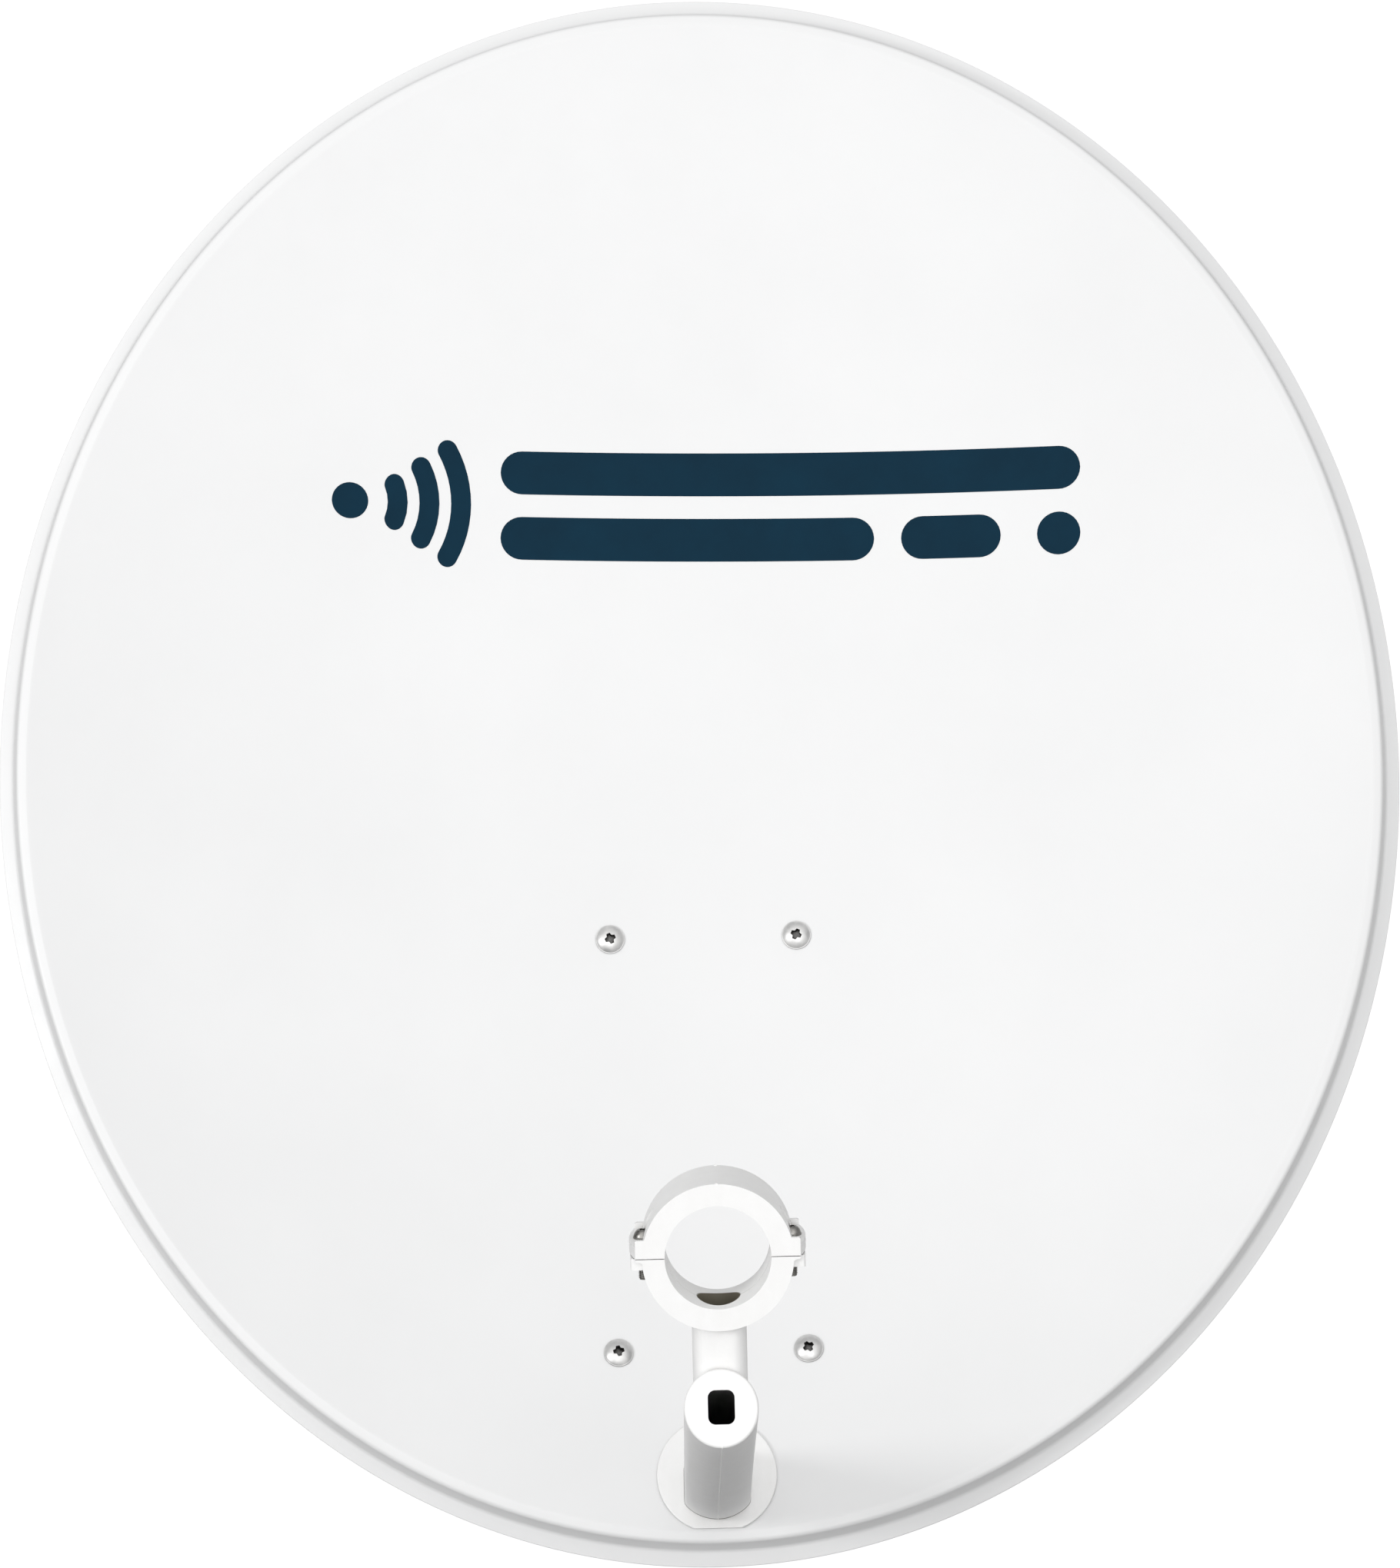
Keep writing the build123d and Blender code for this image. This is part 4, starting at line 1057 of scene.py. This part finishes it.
def stalk_duct_shade(f):
    """1 on the wall of the stalk's cable duct, deeper than its mouth, and 0 elsewhere: the mask for
    painted shade in the duct.
    """
    up = RIM_UP * cos(FEED_TILT) + RIM_OUT * sin(FEED_TILT)
    out = RIM_OUT * cos(FEED_TILT) - RIM_UP * sin(FEED_TILT)
    from_ring = f.vectors("SUBTRACT", 0, f.place, to_row(*NECK_IN_RIM))
    x, y, z = [f.vectors("DOT_PRODUCT", "Value", from_ring, axis) for axis in (RIM_RIGHT, up, out)]
    squares = f.maths("ADD", f.maths("POWER", x, 2.0), f.maths("POWER", z, 2.0))
    off_axis = f.maths("SQRT", squares)
    inside = f.spread(off_axis, *[(STALK_BORE + deep) * MM for deep in DUCT_SHADE_WALL])
    below = f.spread(y, *[at * MM for at in DUCT_SHADE_FROM])
    above = f.spread(y, *[at * MM for at in DUCT_SHADE_TO])
    return f.maths("MULTIPLY", inside, f.maths("MULTIPLY", below, above))


def moulded_plastic():
    """White weatherproof plastic with an eroded mould grain and faint flow marks, and painted shade
    in its hollows and in the stalk's duct.
    """
    f = Finish("moulded_plastic", 0.45)
    grain = f.noise(1500.0, 3.0, 0.6)
    mottle = f.noise(160.0, 4.0, 0.65)
    flow = f.noise(40.0, 3.0, 0.5, f.stretched((6.0, 0.7, 2.0)))
    tone = f.blend(f.spread(flow, 0.3, 0.7), (0.875, 0.872, 0.866), (0.895, 0.894, 0.890))
    tone = f.blend(f.spread(mottle, 0.35, 0.75, 0.0, 0.4), tone, (0.85, 0.846, 0.838))
    # Painted shade: hollows and crevices, such as the arm's inside behind its window, darkened
    # towards dark brown.
    tone = f.blend(f.spread(f.openness(0.022), 0.1, 0.42), (0.11, 0.10, 0.075), tone)
    # Painted shade: the stalk's cable duct darkened to a dark brown a little below its mouth.
    tone = f.blend(stalk_duct_shade(f), tone, (0.16, 0.145, 0.11))
    rough = f.spread(mottle, 0.3, 0.7, 0.38, 0.52)
    return f.use(tone, rough, [(mottle, 0.0003, 0.25), (grain, 0.00005, 0.6)])


def zinc_plate():
    """Bright zinc plate on turned and rolled steel, with painted shade in its recesses."""
    f = Finish("zinc_plate", 0.32, metallic=1.0)
    bloom = f.noise(220.0, 4.0, 0.6)
    scuff = f.noise(2400.0, 2.0)
    tone = f.blend(f.spread(bloom, 0.3, 0.7), (0.64, 0.64, 0.635), (0.80, 0.795, 0.785))
    # Painted shade: the screw recesses and other small hollows darkened nearly to black.
    tone = f.blend(f.spread(f.openness(0.004), 0.38, 0.7), (0.05, 0.048, 0.046), tone)
    rough = f.spread(bloom, 0.3, 0.7, 0.38, 0.52)
    return f.use(tone, rough, [(scuff, 0.00002, 0.5)])


def dark_steel():
    """Plain steel screws, dulled by handling."""
    f = Finish("dark_steel", 0.3, metallic=1.0)
    bloom = f.noise(500.0, 4.0, 0.6)
    tone = f.blend(f.spread(bloom, 0.3, 0.7), (0.20, 0.195, 0.185), (0.42, 0.41, 0.39))
    rough = f.spread(bloom, 0.3, 0.7, 0.22, 0.45)
    return f.use(tone, rough, [(f.noise(3000.0, 2.0), 0.00002, 0.5)])


def galvanised_sheet():
    """Hot-dip zinc on steel sheet, with its spangle."""
    f = Finish("galvanised_sheet", 0.4, metallic=1.0)
    warp = f.noise(30.0, 2.0)
    bent = f.node("ShaderNodeMix", {"Factor": 0.03}, data_type="VECTOR")
    f.tree.links.new(f.place, [s for s in bent.inputs if s.type == "VECTOR"][0])
    f.tree.links.new(warp, [s for s in bent.inputs if s.type == "VECTOR"][1])
    bent_place = [s for s in bent.outputs if s.type == "VECTOR"][0]
    spangle = f.cells(110.0, bent_place, "Color")
    spangle = f.node("ShaderNodeSeparateColor", {"Color": spangle}).outputs[0]
    frost = f.noise(900.0, 3.0, 0.6)
    tone = f.blend(spangle, (0.44, 0.46, 0.475), (0.62, 0.635, 0.645))
    tone = f.blend(f.spread(frost, 0.4, 0.8, 0.0, 0.4), tone, (0.70, 0.71, 0.71))
    rough = f.spread(spangle, 0.0, 1.0, 0.32, 0.52)
    return f.use(tone, rough, [(spangle, 0.00004, 0.3), (frost, 0.00002, 0.5)])


def cast_zinc():
    """Die-cast jaws: matt grey skin, fine pits."""
    f = Finish("cast_zinc", 0.5, metallic=0.9)
    skin = f.noise(90.0, 4.0, 0.6)
    sand = f.noise(1100.0, 3.0, 0.6)
    pits = f.spread(f.cells(420.0), 0.05, 0.22)
    tone = f.blend(f.spread(skin, 0.3, 0.7), (0.42, 0.425, 0.43), (0.55, 0.555, 0.56))
    tone = f.blend(pits, (0.30, 0.30, 0.30), tone)
    rough = f.spread(skin, 0.3, 0.7, 0.42, 0.6)
    return f.use(tone, rough, [(pits, 0.00008, 0.4), (sand, 0.00006, 0.6)])


def seal_rubber():
    """Black rubber seals with a dusty bloom."""
    f = Finish("seal_rubber", 0.75)
    bloom = f.noise(300.0, 4.0, 0.6)
    tone = f.blend(f.spread(bloom, 0.4, 0.75), (0.018, 0.018, 0.019), (0.05, 0.05, 0.05))
    rough = f.spread(bloom, 0.3, 0.7, 0.65, 0.85)
    return f.use(tone, rough, [(f.noise(2200.0, 2.0), 0.00004, 0.5)])


finishes = {
    "reflector_coat": powder_coat(),
    "zinc": zinc_plate(),
    "seal_rubber": seal_rubber(),
    "galvanised": galvanised_sheet(),
    "arm_plastic": moulded_plastic(),
    "dark_steel": dark_steel(),
    "cast_zinc": cast_zinc(),
}
for node in nodes.values():
    for slot in node.material_slots:
        slot.material = finishes[slot.material.name.split(".")[0]]

reflector_mesh(finishes["reflector_coat"])
printed_mark(mark_ink())
bowl_fasteners(finishes["zinc"])
mount_fasteners(finishes["zinc"])
feed_arm(finishes["arm_plastic"])
clamp_cap(finishes["arm_plastic"])
clamp_screws(finishes["dark_steel"])

# ==== Studio ====

FLOOR_Z = cad_low.z - 0.22
FLOOR_RADIUS = 1.9
FLOOR_FADE = (0.6, 0.98)  # where the floor's fading starts and ends
FLOOR_SEEN = (0.86, 0.86, 0.86)
BACKDROP_SEEN = 0.8
# Each glow of the world: its direction, the cosines where it starts and is full, and its strength.
WORLD_GLOW = (
    ((0, 0, 1), -2.0, -1.5, 0.29),
    ((0, 0, 1), 0.1, 0.9, 0.06),
    ((1, -0.3, 0), 0.1, 0.9, 0.09),
    ((0, -1, -0.12), 0.45, 0.92, 0.68),
    ((0, -0.8, 0.6), 0.5, 0.95, 0.55),
    ((0, 1, 0), 0.5, 0.95, 0.78),
)
# Each soft box: its name, place, size and power.
SOFT_BOXES = (
    ("key", (-2.2, -2.3, 0.45), 0.8, 22.0),
    ("near", (0.2, -2.5, -0.2), 1.2, 8.0),
)


def studio_floor():
    """A pale round floor whose edge fades out."""
    work = bmesh.new()
    bmesh.ops.create_circle(work, cap_ends=True, segments=128, radius=FLOOR_RADIUS)
    mesh = bpy.data.meshes.new("floor")
    work.to_mesh(mesh)
    work.free()
    floor = bpy.data.objects.new("floor", mesh)
    floor.location = (0, -0.1, FLOOR_Z)
    bpy.context.scene.collection.objects.link(floor)
    f = Finish("floor_paper", 0.7)
    tone = f.blend(f.noise(3.0, 3.0), (0.46, 0.46, 0.46), (0.48, 0.48, 0.48))
    seen = f.node("ShaderNodeLightPath").outputs["Is Camera Ray"]
    tone = f.blend(seen, tone, FLOOR_SEEN)
    f.use(tone, None, [(f.noise(400.0, 2.0), 0.0001, 0.2)])
    reach = f.node("ShaderNodeVectorMath", {0: f.place}, operation="LENGTH").outputs["Value"]
    clear = f.node("ShaderNodeBsdfTransparent")
    gone = f.spread(reach, *[FLOOR_RADIUS * share for share in FLOOR_FADE])
    fade = f.node("ShaderNodeMixShader", {0: gone})
    f.tree.links.new(f.shader.outputs[0], fade.inputs[1])
    f.tree.links.new(clear.outputs[0], fade.inputs[2])
    f.tree.links.new(fade.outputs[0], f.tree.nodes["Material Output"].inputs["Surface"])
    mesh.materials.append(f.material)


def studio_world():
    """Soft light all round, stronger from some sides, and a white backdrop behind."""
    world = bpy.data.worlds.new("studio")
    world.use_nodes = True
    bpy.context.scene.world = world
    tree = world.node_tree
    place = tree.nodes.new("ShaderNodeTexCoord").outputs["Generated"]
    total = None
    for axis, start, full, strength in WORLD_GLOW:
        facing = tree.nodes.new("ShaderNodeVectorMath")
        facing.operation = "DOT_PRODUCT"
        tree.links.new(place, facing.inputs[0])
        facing.inputs[1].default_value = Vector(axis).normalized()
        glow = tree.nodes.new("ShaderNodeMapRange")
        glow.interpolation_type = "SMOOTHSTEP"
        tree.links.new(facing.outputs["Value"], glow.inputs["Value"])
        glow.inputs["From Min"].default_value = start
        glow.inputs["From Max"].default_value = full
        glow.inputs["To Min"].default_value = 0.0
        glow.inputs["To Max"].default_value = strength
        if total is not None:
            added = tree.nodes.new("ShaderNodeMath")
            added.operation = "ADD"
            tree.links.new(total, added.inputs[0])
            tree.links.new(glow.outputs[0], added.inputs[1])
            total = added.outputs[0]
        else:
            total = glow.outputs[0]
    # The camera sees the backdrop paler than it lights the part.
    pale = tree.nodes.new("ShaderNodeMath")
    pale.operation = "MAXIMUM"
    tree.links.new(total, pale.inputs[0])
    pale.inputs[1].default_value = BACKDROP_SEEN
    shown = tree.nodes.new("ShaderNodeMix")
    seen = tree.nodes.new("ShaderNodeLightPath").outputs["Is Camera Ray"]
    tree.links.new(seen, shown.inputs["Factor"])
    tree.links.new(total, shown.inputs["A"])
    tree.links.new(pale.outputs[0], shown.inputs["B"])
    tree.links.new(shown.outputs["Result"], tree.nodes["Background"].inputs["Strength"])
    tree.nodes["Background"].inputs["Color"].default_value = (1, 1, 1, 1)


def soft_box(name, at, aim, size, watts):
    """A large area light that points at aim."""
    light = bpy.data.lights.new(name, "AREA")
    light.shape = "DISK"
    light.size = size
    light.energy = watts
    lamp = bpy.data.objects.new(name, light)
    lamp.location = at
    lamp.rotation_mode = "QUATERNION"
    lamp.rotation_quaternion = (Vector(aim) - Vector(at)).to_track_quat("-Z", "Y")
    lamp.visible_camera = False
    bpy.context.scene.collection.objects.link(lamp)


def studio_camera():
    """The camera at the angle and distance that the reference shows."""
    at = to_row(*CAMERA_AT)
    ahead = (to_row(*CAMERA_AIM) - at).normalized()
    right = ahead.cross(RIM_UP).normalized()
    up = right.cross(ahead)
    turned_right = right * cos(CAMERA_ROLL) + up * sin(CAMERA_ROLL)
    turned_up = up * cos(CAMERA_ROLL) - right * sin(CAMERA_ROLL)
    data = bpy.data.cameras.new("camera")
    data.lens = LENS
    data.sensor_width = 36.0
    data.clip_end = 50.0
    camera = bpy.data.objects.new("camera", data)
    axes = Matrix((turned_right, turned_up, -ahead)).transposed()
    camera.matrix_world = Matrix.Translation(at) @ axes.to_4x4()
    bpy.context.scene.collection.objects.link(camera)
    bpy.context.scene.camera = camera


studio_floor()
studio_world()
for name, at, size, watts in SOFT_BOXES:
    soft_box(name, at, RIM_CENTRE, size, watts)
studio_camera()
bpy.context.scene.view_settings.view_transform = "Standard"
